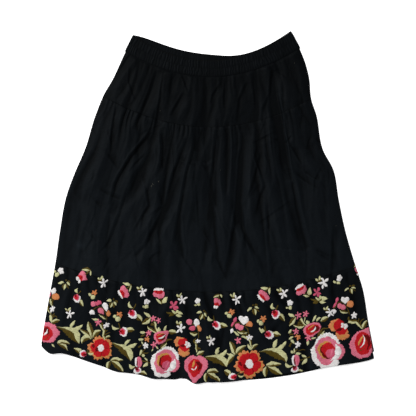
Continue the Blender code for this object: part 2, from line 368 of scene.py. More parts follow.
# Gathers below a seam: each tuck has its own height and reach, wanders on its way down, and fades out. It has
# two flat flanks, one steeper than the other. Fine crumpling between the tucks bunches up under the seam.
gathered = {
    "drawn": 0.035, "heights": (0.15, 1.3), "reaches": (0.2, 1.3), "steep": 0.38, "seamTurn": 4,
    "shift": {"most": 0.45, "tucks": 2.1},
    "wander": {"most": 0.9, "tucks": 3, "down": 70, "start": 60},
    "bunch": {"mean": 0.75, "most": 0.8, "tucks": 2.7, "range": (0.15, 1.4)},
    "fine": {"share": 0.85, "perTuck": 2.6, "down": 30, "reach": 24, "seed": 5},
}


def gatherHeight(tier, u, depth):
    shift, wander, bunch, fine = (gathered[key] for key in ("shift", "wander", "bunch", "fine"))
    below = np.maximum(depth - depthOf[tier.top], 0)
    even = np.linspace(-1.1, 1.1, 400)
    drawn = even + gathered["drawn"] * np.sin(np.pi * even) * np.cos(3 * np.pi * even)
    phase = (np.interp(u, drawn, even) + 1) * tier.gathers / 2
    phase = phase + shift["most"] * noise(phase / shift["tucks"], phase * 0, 3 * tier.gathers)
    aside = wander["most"] * noise(phase / wander["tucks"], below / wander["down"], tier.gathers)
    phase = phase + aside * np.clip(below / wander["start"], 0, 1)
    tucks = np.random.default_rng(tier.gathers)
    heights = tucks.uniform(*gathered["heights"], tier.gathers + 8)
    reaches = tucks.uniform(*gathered["reaches"], tier.gathers + 8) * tier.reach
    number = np.clip(np.floor(phase).astype(int) + 3, 0, tier.gathers + 7)
    inTuck = phase - np.floor(phase)
    wave = np.minimum(inTuck / (1 - gathered["steep"]), (1 - inTuck) / gathered["steep"])
    coarse = tier.height * heights[number] * np.exp(-below / reaches[number]) * wave
    bunched = bunch["mean"] + bunch["most"] * noise(phase / bunch["tucks"], phase * 0 + 0.5, 2 * tier.gathers)
    crumpling = np.abs(facets(phase * fine["perTuck"], below / fine["down"], fine["seed"]))
    crumpling = crumpling * np.exp(-below / fine["reach"])
    total = coarse + fine["share"] * tier.height * np.clip(bunched, *bunch["range"]) * crumpling
    return (1 - np.exp(-below / gathered["seamTurn"])) * total


# How high the front layer's folds would stand above its lowest, if they could go below it
def frontLift(tier, u, depth, x, y):
    lift = columnAt("puff", depth) + foldHeight(x, y) + creaseHeight(x, y)
    lift = lift + crumple(u, depth, crumpled["frontSeed"]) + gatherHeight(tier, u, depth)
    aboveHem = (depthOf["hem"] - depth) / fluteDepth
    for flute in hemFlutes:
        lift = lift + flute.lift * bell((u - flute.at) / flute.reach) * bell(aboveHem)
    return lift + layers["room"]


# 1 at a side of the skirt, down to 0 where its cloth starts to turn down to that side
def sideRoll(u, depth):
    fromSide = (1 - np.abs(u)) * (columnAt("rightX", depth) - columnAt("leftX", depth)) / 2
    return 1 - np.clip(fromSide / layers["roll"], 0, 1)


# A layer's height with its sides turned to the side's height, along a quarter circle
def rolled(height, u, depth):
    return layers["side"] + (height - layers["side"]) * np.sqrt(1 - sideRoll(u, depth) ** 2)


# How high the outside of the front layer lies, never below the solid's lowest, with a soft turn there
def settled(lift, u, depth):
    lift = np.log1p(np.exp(2 * lift)) / 2
    height = layers["frontTop"] - layers["sunk"] + lift * (1 - np.abs(u) ** sideRounding)
    return rolled(height, u, depth)


def frontHeight(tier, u, depth, x, y):
    return settled(frontLift(tier, u, depth, x, y), u, depth)


# How low the outside of the back layer lies: pressed flat by the weight on it, with a small share of the
# front's kinds of folds, and held between two heights
pressed = {"crumple": 0.08, "gathers": 0.09, "creases": 0.07, "range": (-0.25, 0.5)}


def backHeight(tier, u, depth, x, y):
    ripple = pressed["crumple"] * crumple(-u, depth, crumpled["backSeed"])
    ripple = ripple + pressed["gathers"] * gatherHeight(tier, -u, depth)
    ripple = ripple + pressed["creases"] * creaseHeight(-x, y)
    return rolled(layers["backUnder"] - np.clip(ripple, *pressed["range"]), u, depth)


# Meshes

def newPiece(name, points, faces, material, uv=None, wearAndShade=None):
    mesh = bpy.data.meshes.new(name)
    mesh.vertices.add(len(points))
    mesh.vertices.foreach_set("co", (points * mm).ravel())
    mesh.loops.add(faces.size)
    mesh.loops.foreach_set("vertex_index", faces.ravel())
    mesh.polygons.add(len(faces))
    mesh.polygons.foreach_set("loop_start", np.arange(0, faces.size, 4))
    if uv is not None:
        mesh.uv_layers.new(name="threads").data.foreach_set("uv", uv[faces.ravel()].ravel())
    if wearAndShade is not None:
        mesh.attributes.new("wearAndShade", "FLOAT", "POINT").data.foreach_set("value", wearAndShade.ravel())
    mesh.update(calc_edges=True)
    mesh.validate()
    mesh.shade_smooth()
    mesh.materials.append(material)
    piece = bpy.data.objects.new(name, mesh)
    bpy.context.scene.collection.objects.link(piece)
    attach(piece, "root")
    return piece


# The corners of a grid's cells, row by row, wound so that a grid with its rows going down faces up
def gridFaces(rows, cols, closed=False):
    r, c = np.meshgrid(np.arange(rows - 1), np.arange(cols if closed else cols - 1), indexing="ij")
    r, c = r.ravel(), c.ravel()
    after = (c + 1) % cols
    return np.stack([r * cols + c, (r + 1) * cols + c, (r + 1) * cols + after, r * cols + after], 1)


def thicken(piece, thickness):
    wall = piece.modifiers.new("Wall", "SOLIDIFY")
    wall.thickness = thickness * mm
    wall.offset = -1


# How far each point of a cloth grid stands above the mean of the points round it
def ridgeHeight(z, reach):
    mean = z
    for axis in (0, 1):
        padded = np.pad(mean, [(reach, reach) if a == axis else (0, 0) for a in (0, 1)], mode="edge")
        total = np.cumsum(np.insert(padded, 0, 0, axis=axis), axis=axis)
        span = 2 * reach + 1
        after = np.take(total, range(span, total.shape[axis]), axis)
        mean = (after - np.take(total, range(total.shape[axis] - span), axis)) / span
    return z - mean


# How light the cloth is painted, from 0 in a fold to the most on a ridge: wear lightens the ridges and painted shade
# darkens the folds. Each row is a reach in points of the grid, and how much a millimetre of ridge lightens the cloth
# and one of fold darkens it at that reach.
wearAndShading = {
    "even": 0.86, "most": 1.2,
    "front": ((14, 0.04, 0.2), (5, 0.02, 0.14), (2, 0.0, 0.35)),
    "back": ((2, 1.4, 1.4),),
}


def ridgeWearAndShade(z, windows):
    wornAndShaded = np.full_like(z, wearAndShading["even"])
    for reach, light, dark in windows:
        height = ridgeHeight(z, reach)
        wornAndShaded += light * np.maximum(height, 0) + dark * np.minimum(height, 0)
    return np.clip(wornAndShaded, 0, wearAndShading["most"])


# Materials

def shaderOf(name, colour, roughness, specular):
    material = bpy.data.materials.new(name)
    material.use_nodes = True
    shader = material.node_tree.nodes["Principled BSDF"]
    shader.inputs["Base Color"].default_value = (*colour, 1)
    shader.inputs["Roughness"].default_value = roughness
    shader.inputs["Specular IOR Level"].default_value = specular
    return material, material.node_tree, shader


def addNode(tree, kind, inputs, **settings):
    node = tree.nodes.new(kind)
    for setting, value in settings.items():
        setattr(node, setting, value)
    for key, value in inputs.items():
        if isinstance(value, bpy.types.NodeSocket):
            tree.links.new(value, node.inputs[key])
        else:
            node.inputs[key].default_value = value
    return node


def mathNode(tree, operation, *values):
    return addNode(tree, "ShaderNodeMath", dict(enumerate(values)), operation=operation).outputs[0]


# Plain-weave cotton: yarns both ways, a crumple under them, and a black that is lighter on the ridges from wear and
# darker in the folds from painted shade. The tone is the wear-and-shade attribute and a share of a mottle, moved
# down by as much as mottled says, and never below 0.
cottonLook = {
    "dark": (0.0001, 0.0003, 0.0006), "light": (0.0024, 0.0034, 0.0046), "yarnPitch": 0.55,
    "roughness": 0.65, "gloss": 0.045, "tint": (0.86, 0.92, 0.94, 1),
    "mottle": {"Scale": 42, "Detail": 7, "Roughness": 0.65}, "mottled": (0.5, -0.25),
    "rumple": {"Scale": 110, "Detail": 5, "Roughness": 0.6},
    "rumpled": {"Strength": 0.4, "Distance": 0.0014}, "woven": {"Strength": 0.3, "Distance": 0.0001},
}


def cotton(name):
    look = cottonLook
    material, tree, shader = shaderOf(name, look["dark"], look["roughness"], look["gloss"])
    shader.inputs["Specular Tint"].default_value = look["tint"]
    place = addNode(tree, "ShaderNodeTexCoord", {}).outputs["Object"]
    wornAndShaded = addNode(tree, "ShaderNodeAttribute", {}, attribute_name="wearAndShade").outputs["Fac"]
    mottle = addNode(tree, "ShaderNodeTexNoise", {"Vector": place, **look["mottle"]}).outputs["Fac"]
    both = mathNode(tree, "ADD", wornAndShaded, mathNode(tree, "MULTIPLY_ADD", mottle, *look["mottled"]))
    fadedAndShaded = mathNode(tree, "MAXIMUM", both, 0.0)
    ramp = addNode(tree, "ShaderNodeMix", {"Factor": fadedAndShaded}, data_type="RGBA", clamp_factor=False)
    ramp.inputs[6].default_value = (*look["dark"], 1)
    ramp.inputs[7].default_value = (*look["light"], 1)
    tree.links.new(ramp.outputs[2], shader.inputs["Base Color"])
    waves = [
        addNode(
            tree,
            "ShaderNodeTexWave",
            {"Vector": place, "Scale": np.pi / (10 * look["yarnPitch"] * mm), "Distortion": 0.3},
            wave_type="BANDS",
            bands_direction=direction,
        ).outputs["Fac"]
        for direction in ("X", "Y")
    ]
    weave = mathNode(tree, "MULTIPLY", *waves)
    rumple = addNode(tree, "ShaderNodeTexNoise", {"Vector": place, **look["rumple"]}).outputs["Fac"]
    soft = addNode(tree, "ShaderNodeBump", {"Height": rumple, **look["rumpled"]}).outputs["Normal"]
    fine = addNode(tree, "ShaderNodeBump", {"Height": weave, "Normal": soft, **look["woven"]})
    tree.links.new(fine.outputs["Normal"], shader.inputs["Normal"])
    return material


# Embroidery thread, lustrous along its run: its UV map holds, in millimetres, the place across the threads
# and the place along them
threadPitch = 0.45
threadColours = {
    "paleGreen": (0.395, 0.390, 0.205),
    "olive": (0.056, 0.038, 0.004),
    "pink": (0.485, 0.115, 0.168),
    "rosePink": (0.420, 0.066, 0.118),
    "red": (0.350, 0.006, 0.010),
    "crimson": (0.094, 0.001, 0.002),
    "orange": (0.435, 0.155, 0.056),
    "gold": (0.400, 0.185, 0.045),
    "white": (0.580, 0.560, 0.550),
}


# The colour goes from a darker to a lighter tone in streaks along the threads, which stand up as ridges
threadLook = {
    "roughness": 0.5, "gloss": 0.06, "lustre": 0.4, "tones": (0.62, 1.28), "streak": (0.55, 0.10, 1),
    "noise": {"Scale": 1.0, "Detail": 3, "Roughness": 0.7}, "stretch": {"From Min": 0.3, "From Max": 0.7},
    "ridge": {"Strength": 0.5, "Distance": 0.0001},
}


def threadMaterial(name, colour):
    look = threadLook
    material, tree, shader = shaderOf(name + "Thread", colour, look["roughness"], look["gloss"])
    shader.inputs["Anisotropic"].default_value = look["lustre"]
    across = addNode(tree, "ShaderNodeUVMap", {}, uv_map="threads").outputs["UV"]
    streaks = addNode(tree, "ShaderNodeMapping", {"Vector": across, "Scale": look["streak"]})
    tone = addNode(tree, "ShaderNodeTexNoise", {"Vector": streaks.outputs["Vector"], **look["noise"]}).outputs["Fac"]
    strong = addNode(tree, "ShaderNodeMapRange", {"Value": tone, **look["stretch"]}).outputs["Result"]
    mix = addNode(tree, "ShaderNodeMix", {"Factor": strong}, data_type="RGBA")
    for socket, share in zip((6, 7), look["tones"]):
        mix.inputs[socket].default_value = (*[share * c for c in colour], 1)
    tree.links.new(mix.outputs[2], shader.inputs["Base Color"])
    placeAcross = addNode(tree, "ShaderNodeSeparateXYZ", {"Vector": across}).outputs["X"]
    ridges = mathNode(tree, "SINE", mathNode(tree, "MULTIPLY", placeAcross, 2 * np.pi / threadPitch))
    bump = addNode(tree, "ShaderNodeBump", {"Height": ridges, **look["ridge"]})
    tree.links.new(bump.outputs["Normal"], shader.inputs["Normal"])
    return material


# Tiers

grain = {"front": 2.2, "back": 5.0}
# An upper tier's edge lies over the lower tier's top, and the upper tier's own top is sewn into the band
lap = {"over": 1.4, "under": 3.0, "drop": 1.1, "inBand": 1.0, "bandHeight": 4.2, "slope": 5.0}
washed = {"most": 1.7, "even": 0.53, "border": 0.55}  # the middle tier's foot has faded most
smudge = {"place": (80.6, 245.4), "reach": 9, "strength": 1.2}  # a faint pale spot low on the left


def tierCloth(name, back):
    tier = tiers[name]
    side = "back" if back else "front"
    top, foot = depthOf[tier.top], depthOf[tier.foot]
    first = top - (lap["inBand"] if name == "upper" else lap["under"])
    last = foot - 0.15 if name == "border" else foot + lap["over"]
    width = max(columnAt("rightX", np.array([foot])) - columnAt("leftX", np.array([foot])))
    step = 3.0 if name == "border" and not back else grain[side]
    cols, rows = int(width / step), int((last - first) / step) + 2
    even = np.linspace(-1, 1, cols)
    across = np.sin(even * np.pi / 2) * 0.12 + even * 0.88  # a little closer together at the sides
    depth, u = np.meshgrid(np.linspace(first, last, rows), across, indexing="ij")
    x, y = planPoint(u, depth, back)
    folds = backHeight(tier, u, depth, x, y) if back else frontLift(tier, u, depth, x, y)
    z = folds if back else settled(folds, u, depth)
    # Tone: wear lightens the ridges and painted shade darkens the folds, by the folds' full depth even where the
    # cloth lies flattened; the cloth is also lighter towards the hem and darker on the border tier
    wearAndShade = ridgeWearAndShade(folds, wearAndShading[side]) + washed["most"] * (depth / depthOf["hem"] - washed["even"])
    wearAndShade = wearAndShade - washed["border"] * (name == "border")
    if name == "middle" and not back:
        smudgeX, smudgeY = onChart(*smudge["place"])
        wearAndShade = wearAndShade + smudge["strength"] * bell(np.hypot(x - smudgeX, y - smudgeY) / smudge["reach"])
    if name == "upper" and not back:
        sewnIn = np.clip(1 - (depth - top) / lap["slope"], 0, 1)
        z = z + (np.minimum(z, lap["bandHeight"]) - z) * sewnIn
    if name != "upper":
        tucked = lap["drop"] * np.clip(1 - (depth - top - 1) / 3, 0, 1)
        z = z + 0.3 * tucked if back else np.maximum(z - tucked, layers["backTop"] + 0.5)
        # painted shadow: the tone is made nearly black in a band just below the seam, where the upper tier's edge
        # lies over the lower tier
        wearAndShade = wearAndShade * (1 - 0.95 * bell((depth - top - lap["over"]) / 3.0))
    faces = gridFaces(rows, cols)
    piece = newPiece(
        f"{name}Tier{side.capitalize()}Cloth",
        np.stack([x, y, z], -1).reshape(-1, 3),
        faces[:, ::-1] if back else faces,
        cottonCloth,
        wearAndShade=wearAndShade,
    )
    if name == "border":
        thicken(piece, 0.5)
    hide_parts(f"{name}_tier_{side}")
    wide, long = tier.cut
    if back:  # cut deeper by as much as its line rises more at its top than at its foot
        long = long + (sections[tier.top].rise - sections[tier.foot].rise) * mm


cottonCloth = cotton("blackCotton")
for tierName in tiers:
    tierCloth(tierName, back=True)
    tierCloth(tierName, back=False)
print("tiers done")


# Waistband

# A casing laid flat as a loop: its wall runs once round the skirt, and once round its own thickness. Two
# channels of shirring stand up between three lines of stitches.
band = {
    "half": 0.9, "gap": 0.4, "rise": 2.5, "ribs": 62, "ribHeight": 1.2, "channels": 2, "margin": 0.06,
    "join": (-0.04, 0.08), "frontCols": 522, "backCols": 348, "turnCols": 6, "faceRows": 30,
    "facing": (0.12, 0.30), "topLine": 2.2, "cut": (1.000, 0.045),
}


# How high the shirring stands, at a place across and a share of the band's depth
def shirring(u, share, seed):
    ribs = np.random.default_rng(seed)
    between = np.clip((share - band["margin"]) / (1 - 2 * band["margin"]), 0, 1)
    channel = np.floor(np.clip(between, 0, 0.99) * band["channels"])
    heights = ribs.uniform(0.2, 1.25, band["ribs"] * 2 + 12)
    phase = (u + 1) / 2 * band["ribs"] + 0.5 * noise(u * 9, channel * 3.5 + 0.5, seed)
    phase = phase + 0.35 * noise(u * band["ribs"] / 2, share * 5, seed + 1)
    number = np.floor(phase).astype(int) + 2 + (channel * (band["ribs"] + 6)).astype(int)
    number = np.clip(number, 0, heights.size - 1)
    puff = 0.35 + 0.65 * np.abs(np.sin(np.pi * band["channels"] * between)) ** 0.35
    joined = (u > band["join"][0]) & (u < band["join"][1])
    rib = np.abs(np.sin(np.pi * phase)) ** 0.8 * heights[number]
    return (0.2 + 0.8 * rib * np.where(joined, 0.3, 1)) * puff


def waistband():
    turn = np.linspace(0, np.pi, band["turnCols"] + 2)[1:-1]
    front, back = np.linspace(-1, 1, band["frontCols"]), np.linspace(1, -1, band["backCols"])
    u = np.concatenate([front, np.ones(turn.size), back, -np.ones(turn.size)])
    facing = np.concatenate([0 * front, turn, 0 * back + np.pi, turn[::-1]])
    sideways = np.concatenate([0 * front, np.ones(turn.size), 0 * back, -np.ones(turn.size)])
    half, foot = band["half"], depthOf["bandSeam"]
    rounding = np.linspace(0, np.pi, 7)[1:-1]
    faceDepth = np.linspace(foot - half, half, band["faceRows"])
    turned = [half - half * np.sin(rounding), foot - half + half * np.sin(rounding)]
    depth = np.concatenate([faceDepth, turned[0], faceDepth[::-1], turned[1]])
    offset = np.concatenate([0 * faceDepth + 1, np.cos(rounding), 0 * faceDepth - 1, -np.cos(rounding)])
    depth, u = np.meshgrid(depth, u, indexing="ij")
    offset, facing = np.meshgrid(offset, facing, indexing="ij")
    layer = (1 + np.cos(facing)) / 2
    frontX, frontY = planPoint(u, depth)
    backX, backY = planPoint(u, depth, back=True)
    raised = shirring(u, depth / foot, 3)
    ribHeight = band["ribHeight"] * np.where(offset > 0, 0.15 + 0.85 * layer, 0.3)
    thick = half + ribHeight * raised * np.abs(offset)
    reach = half + band["gap"] / 2
    x = frontX * layer + backX * (1 - layer) + sideways * np.sin(facing) * (reach + thick * offset)
    y = frontY * layer + backY * (1 - layer)
    z = band["rise"] + reach * np.cos(facing) + thick * offset * np.cos(facing)
    rows, cols = x.shape
    # Tone of the band: the ribs are lighter the higher they stand, the outside is darker along a line near its top,
    # and the back layer's inside is darkest between the places in band facing
    shade = (layer < 0.5) & (u > band["facing"][0]) & (u < band["facing"][1])
    topEdge = bell((depth - band["topLine"]) / 1.6) * (offset > 0)
    wearAndShade = 0.28 * raised * np.where(shade, 0, 1) * (1 - 0.9 * topEdge)
    points = np.stack([x, y, z], -1).reshape(-1, 3)
    faces = gridFaces(rows + 1, cols, closed=True) % (rows * cols)
    piece = newPiece("waistbandCloth", points, faces[:, ::-1], cottonCloth, wearAndShade=wearAndShade)
    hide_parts("waistband")


waistband()
print("waistband done")


# Embroidery

# Shapes of satin stitch, in chart squares with y up. A leaf runs from its base to its tip: its middle bows to
# the left of its run by bend, and half is its left (1) or right (-1) side alone. A disc has a reach each way,
# scallops, and a point towards one direction. A higher layer lies on a lower one.
Leaf = namedtuple("Leaf", "colour base tip width bend half full layer", defaults=(0, 0, 0.42, 0))
Disc = namedtuple(
    "Disc", "colour centre reach lobes scallop turn layer point pointAt", defaults=(0, 0, 0, 1, 0, 0)
)
Stem = namedtuple("Stem", "colour width path layer", defaults=(0,))


# A leaf in two greens: pale on the left (1) or right (-1) of its run, olive on the other side
def twoTone(base, tip, width, bend=0.0, pale=1, oliveWidth=None, layer=0):
    return [
        Leaf("olive", base, tip, oliveWidth or width, bend, -pale, 0.45, layer),
        Leaf("paleGreen", base, tip, width, bend, pale, 0.45, layer),
    ]


# A star: petals from its centre, every second one a little longer, and a small disc over their feet
def star(colour, reach, directions, width):
    petals = []
    for number, direction in enumerate(np.radians(directions)):
        far = reach * (0.86 + 0.14 * (number % 2))
        tip = (far * np.cos(direction), far * np.sin(direction))
        petals.append(Leaf(colour, (0, 0), tip, width, 0, 0, 0.6, 1))
    return [*petals, Disc(colour, (0, 0), (1.35, 1.35), layer=2)]


motifs = {
    "calyxStar": [
        Leaf("olive", (-5.2, 2.7), (-0.6, 3.0), 2.4, -0.5),
        Leaf("paleGreen", (-3.2, 2.7), (-5.4, 5.6), 2.2, 0.3, 0, 0.6),
        Leaf("paleGreen", (-3.4, 2.7), (-1.2, 6.7), 2.2, -0.4, 0, 0.6),
        *star("white", 5.4, (98, 30, -60, -116, 172), 2.1),
    ],
    "blobStar": [
        Disc("paleGreen", (-3.5, -4.6), (1.3, 1.2), 4, 0.2),
        Disc("paleGreen", (-0.3, -4.6), (1.9, 2.0), 5, 0.15),
        *star("white", 3.3, (85, 10, 160, 225, -60), 2.6),
    ],
    "plainStar": star("white", 3.7, (88, 20, -45, -120, 165), 2.1),
    "pinkStar": star("pink", 3.9, (84, 22, -50, -118, 165), 1.7),
    "orangeStar": star("orange", 3.7, (129, 51, -12, -69, 196), 2.0),
    "orangeBlobStar": [
        Disc("paleGreen", (-4.5, -2.3), (1.7, 1.6)),
        Disc("paleGreen", (-1.5, -4.6), (2.3, 2.5)),
        *star("orange", 3.7, (129, 51, -12, -69, 196), 2.0),
    ],
    "tulip": [
        Stem("olive", 1.4, [(0.8, -3), (2.2, -7.5), (2.8, -11)]),
        Leaf("paleGreen", (2.7, -10.6), (-2.9, -5.4), 2.0),
        Leaf("paleGreen", (3.2, -9.8), (9.0, -4.2), 3.6, 0.5),
        Disc("pink", (-3.4, -1.4), (2.8, 3.1), 5, 0.08),
        Disc("pink", (3.3, -1.2), (2.9, 3.3), 5, 0.08),
        Disc("pink", (0.2, -2.4), (3.3, 3.0), 5, 0.08),
        Disc("pink", (0.0, 0.0), (4.8, 2.4)),
        Disc("red", (-0.2, 1.2), (4.8, 2.5), 11, 0.12, layer=3),
        Leaf("crimson", (-1.6, -0.4), (-2.2, 2.6), 1.3, 0, 0, 0.5, 4),
        Leaf("crimson", (1.8, -0.4), (1.7, 2.6), 1.3, 0, 0, 0.5, 4),
        Disc("white", (0, 3.1), (4.6, 1.0), layer=4),
        *[
            Disc("white", (at, 3.9 - 0.04 * at**2), (0.95, 1.25), layer=4)
            for at in (-4, -2.4, -0.8, 0.8, 2.4, 4)
        ],
    ],
    "tulipBud": [
        Stem("olive", 1.2, [(0.2, -3), (0.8, -6), (1.2, -9.5)]),
        Leaf("paleGreen", (1.1, -9.0), (-2.2, -7.0), 1.7, 0.4),
        *twoTone((0.8, -8.8), (5.2, -3.6), 3.6, -0.6),
        Disc("pink", (0.7, -1.4), (2.9, 3.0), point=0.45, pointAt=-30),
        Disc("pink", (-1.3, -0.8), (2.2, 2.6), point=0.4, pointAt=215),
        Disc("red", (-0.2, 0.9), (2.9, 2.3), 7, 0.14, layer=3),
        Leaf("crimson", (-0.4, -0.8), (-0.6, 2.6), 1.3, 0, 0, 0.5, 4),
        Disc("white", (-1.4, 3.2), (1.5, 1.6), layer=4),
        Disc("white", (0.9, 3.3), (1.5, 1.5), layer=4),
    ],
    "bud": [
        Stem("olive", 1.3, [(0.4, 4), (1.2, 6), (3.3, 9.4)]),
        Leaf("paleGreen", (0.2, 5.6), (-2.2, 11.8), 2.9, 2.2, 0, 0.5),
        *twoTone((3.5, -1.1), (9.6, -8.2), 5.4, 0.3),
        Disc("white", (0.6, -0.9), (4.5, 4.4), 9, 0.16),
        Disc("rosePink", (0.0, 0.1), (3.8, 4.0), 7, 0.12, layer=2),
        Disc("red", (-0.4, 0.4), (2.9, 3.2), 6, 0.14, layer=3),
        Disc("crimson", (-1.2, 1.5), (1.6, 2.0), 5, 0.14, layer=4),
    ],
    "budPair": [
        Leaf("paleGreen", (-2.2, -0.4), (-9.2, 2), 2.8, 2.4, 0, 0.6),
        *twoTone((1.4, -6.1), (9, -9.2), 3.6, 0.4),
        Disc("white", (-1.1, 3.4), (2.4, 4.8)),
        Disc("pink", (1.0, 3.7), (3.1, 5.2), layer=2),
        Leaf("crimson", (-0.8, -1.0), (-0.1, 7.0), 2.2, 0.5, 0, 0.4, 3),
        Leaf("rosePink", (0.9, -0.6), (1.9, 7.4), 2.2, -0.4, 0, 0.5, 3),
        Disc("white", (-0.4, -5.0), (4.2, 3.4), 8, 0.16),
        Disc("rosePink", (-0.4, -4.2), (3.1, 2.7), 7, 0.14, layer=2),
        Disc("crimson", (-1.2, -3.4), (2.1, 2.0), 5, 0.18, layer=3),
    ],
    "sprig": [
        Leaf("olive", (0.2, 0.8), (0.6, 3.2), 1.6),
        Leaf("olive", (1.4, 0.9), (5.2, -0.6), 1.8, 0.8),
        Leaf("olive", (0.6, -1.8), (3.0, -6.6), 1.7, 0.3),
        Leaf("paleGreen", (-1.2, 0.2), (-7.5, -1.6), 2.6, -0.4),
        *twoTone((-0.3, -1.2), (-1.6, -7.2), 4.2, -0.3, 1),
        Leaf("paleGreen", (0.9, 0.0), (4.3, -3.6), 2.3, 0.4),
    ],
    "clusterStar": [
        Leaf("olive", (0.8, -8.4), (-7.2, -6.0), 2.6, 0.8),
        Leaf("olive", (0.6, -8.8), (-5.4, -11), 2.6),
        Leaf("olive", (1.6, -9.4), (5.4, -7.0), 2.0),
        Leaf("paleGreen", (2.4, -8.4), (-2.0, -4.6), 2.4, 0.4),
        Leaf("paleGreen", (3.6, -8.8), (2.8, -3.8), 3.0),
        Leaf("paleGreen", (3.2, -8.4), (9.4, -8.2), 3.6, 0.7, 0, 0.4),
        Leaf("paleGreen", (1.6, -9.6), (7.4, -11.4), 3.0, -0.4),
        *star("rosePink", 5.4, (127, 50, 216, -72, -30), 2.5),
    ],
    "dropSpray": [
        Stem("olive", 1.0, [(-6, 0.6), (-1, 4), (3.4, 1.6), (6.4, -3), (7.4, -11)]),
        *twoTone((6.6, -8.8), (-0.7, -3.2), 2.8, 0.9),
        Leaf("pink", (-3.6, 4.4), (-8.4, 7.8), 4.8, 0, 0, 0.58, 1),
        Leaf("rosePink", (-2.2, 4.8), (1.8, 9.4), 4.2, 0, 0, 0.62, 1),
        Leaf("rosePink", (-1.6, 4.4), (-3.6, 8.4), 3.0, 0, 0, 0.6, 1),
        Leaf("pink", (4.2, -4.0), (-0.6, 2.2), 4.8, 0, 0, 0.6, 1),
        Leaf("white", (6.8, -1.6), (4.6, 8.4), 5.8, 0, 0, 0.62, 1),
        Leaf("white", (-4.2, -3.6), (-8.2, 0.8), 4.6, 0.6, 0, 0.62, 1),
        Leaf("white", (-4.6, -1.4), (-10.0, -1.6), 4.2, 0, 0, 0.6, 1),
        Leaf("orange", (8.4, 1.2), (8.7, -6), 4.4, 0, 0, 0.65, 1),
    ],
    "heartSpray": [
        Stem("olive", 1.2, [(-9, -3), (-5.6, 2.4), (-1, 3.2), (2.8, 0.6), (6.4, -4), (7.4, -9)]),
        *twoTone((6.2, -6.6), (-3.8, -4.8), 3.4, 1.2),
        Leaf("rosePink", (-6.8, 2.4), (-5.0, 8.6), 3.8, 0, 0, 0.55, 1),
        Leaf("rosePink", (-6.2, 4.2), (-9.8, -1.6), 3.2, 0, 0, 0.55, 1),
        Disc("pink", (-3.2, -0.7), (2.6, 2.7)),
        Disc("pink", (0.3, -2.2), (3.0, 2.6)),
        Leaf("white", (2.8, 0.6), (-0.2, 9.4), 6.0, 0, 0, 0.62, 1),
        Leaf("white", (2.4, 0.6), (5.8, 9.6), 6.2, 0, 0, 0.62, 1),
        Leaf("orange", (4.4, -0.4), (10.8, 3.0), 6.6, 0, 0, 0.62, 1),
        Leaf("white", (-9.9, -8.8), (-8.3, -3.2), 3.8, 0, 0, 0.6, 1),
    ],
    "smallRose": [
        Disc("pink", (0, 0.7), (7.0, 6.2), 8, 0.08, point=0.36, pointAt=-98),
        Disc("pink", (3.6, 3.0), (3.8, 3.4), point=0.4, pointAt=35),
        Disc("red", (0.2, 0.6), (5.3, 4.8), 9, 0.06, layer=2, point=0.4, pointAt=-100),
        Disc("crimson", (2.0, 0.2), (3.4, 3.9), 7, 0.12, layer=3),
        Disc("red", (0.6, 0.5), (3.4, 2.6), layer=4),
        Leaf("gold", (-3.2, 1.6), (3.8, 3.8), 1.2, 0.8, 0, 0.5, 5),
        Leaf("white", (-2.6, -1.0), (4.6, 2.6), 2.1, -1.3, 0, 0.5, 6),
        Stem("olive", 0.5, [(-2.6, -2.2), (0.4, -2.6), (3.0, -0.8), (5.0, 2.2)], 5),
    ],
    "wideRose": [
        Disc("pink", (0, 0), (9.6, 6.6), 9, 0.08),
        Disc("red", (0, -0.2), (8.2, 5.4), 9, 0.08, layer=2),
        Disc("crimson", (3.6, -0.8), (4.0, 3.6), 6, 0.12, layer=3),
        Leaf("gold", (-4.4, 1.0), (4.2, 3.2), 1.4, 0.9, 0, 0.5, 5),
        Leaf("white", (-3.6, -1.0), (3.8, 1.8), 2.2, -1.8, 0, 0.5, 6),
        Stem("olive", 0.6, [(-3.8, -2.4), (0.4, -3.2), (4.4, -0.6)], 5),
    ],
    "halfFlower": [
        Disc("orange", (-3.4, 3.6), (6.2, 5.8), 6, 0.2, -40),
        Disc("orange", (1.0, -6.0), (6.6, 5.2), 6, 0.2),
        Disc("gold", (-4.6, 3.6), (3.6, 4.0), 5, 0.2, layer=1),
        Disc("gold", (0.6, -7.2), (4.6, 3.0), 5, 0.2, layer=1),
        Disc("red", (-0.7, 3.0), (5.7, 5.2), 7, 0.12, layer=2),
        Disc("red", (1.4, -2.4), (5.4, 4.2), 7, 0.12, layer=2),
        Disc("crimson", (-0.6, -0.8), (3.6, 1.7), 5, 0.2, -30, layer=3),
        *[
            Disc("white", centre, (1.6, 1.5), layer=4)
            for centre in ((3, 3.1), (5.2, 1.8), (4.6, -1), (2.5, 0.9), (6, -0.1))
        ],
    ],
    "bigFlower": [
        Disc("orange", (0, 0), (13.8, 13.6), 5, 0.31, 68),
        Disc("gold", (0.4, -0.4), (12.0, 11.8), 5, 0.3, 68, 2),
        Disc("red", (0, 0.2), (11.5, 11.0), 5, 0.2, 66, 3),
        Disc("crimson", (-7.6, 2.8), (2.0, 3.2), 5, 0.26, layer=4),
        Disc("crimson", (-3.6, -1.0), (3.4, 3.4), 7, 0.2, layer=4),
        *[
            Leaf("crimson", *[(far * np.cos(a), far * np.sin(a)) for far in (3.6, 8.8)], 0.7, 0, 0, 0.4, 4)
            for a in np.radians((66, -6, -78, -150))
        ],
        Disc("white", (0, 0), (4.4, 4.4), 8, 0.18, layer=5),
        Disc("white", (0, -0.2), (1.6, 1.6), 5, 0.2, layer=7),
    ],
    "peony": [
        Disc("white", (2.2, 4.6), (11.8, 10.8), 9, 0.06),
        Disc("white", (-5.6, -0.8), (9.4, 10.8), 9, 0.08),
        Disc("white", (-6.0, -9.0), (5.4, 5.8), 6, 0.12),
        Disc("white", (0.6, -11.4), (5.6, 4.2), 6, 0.14),
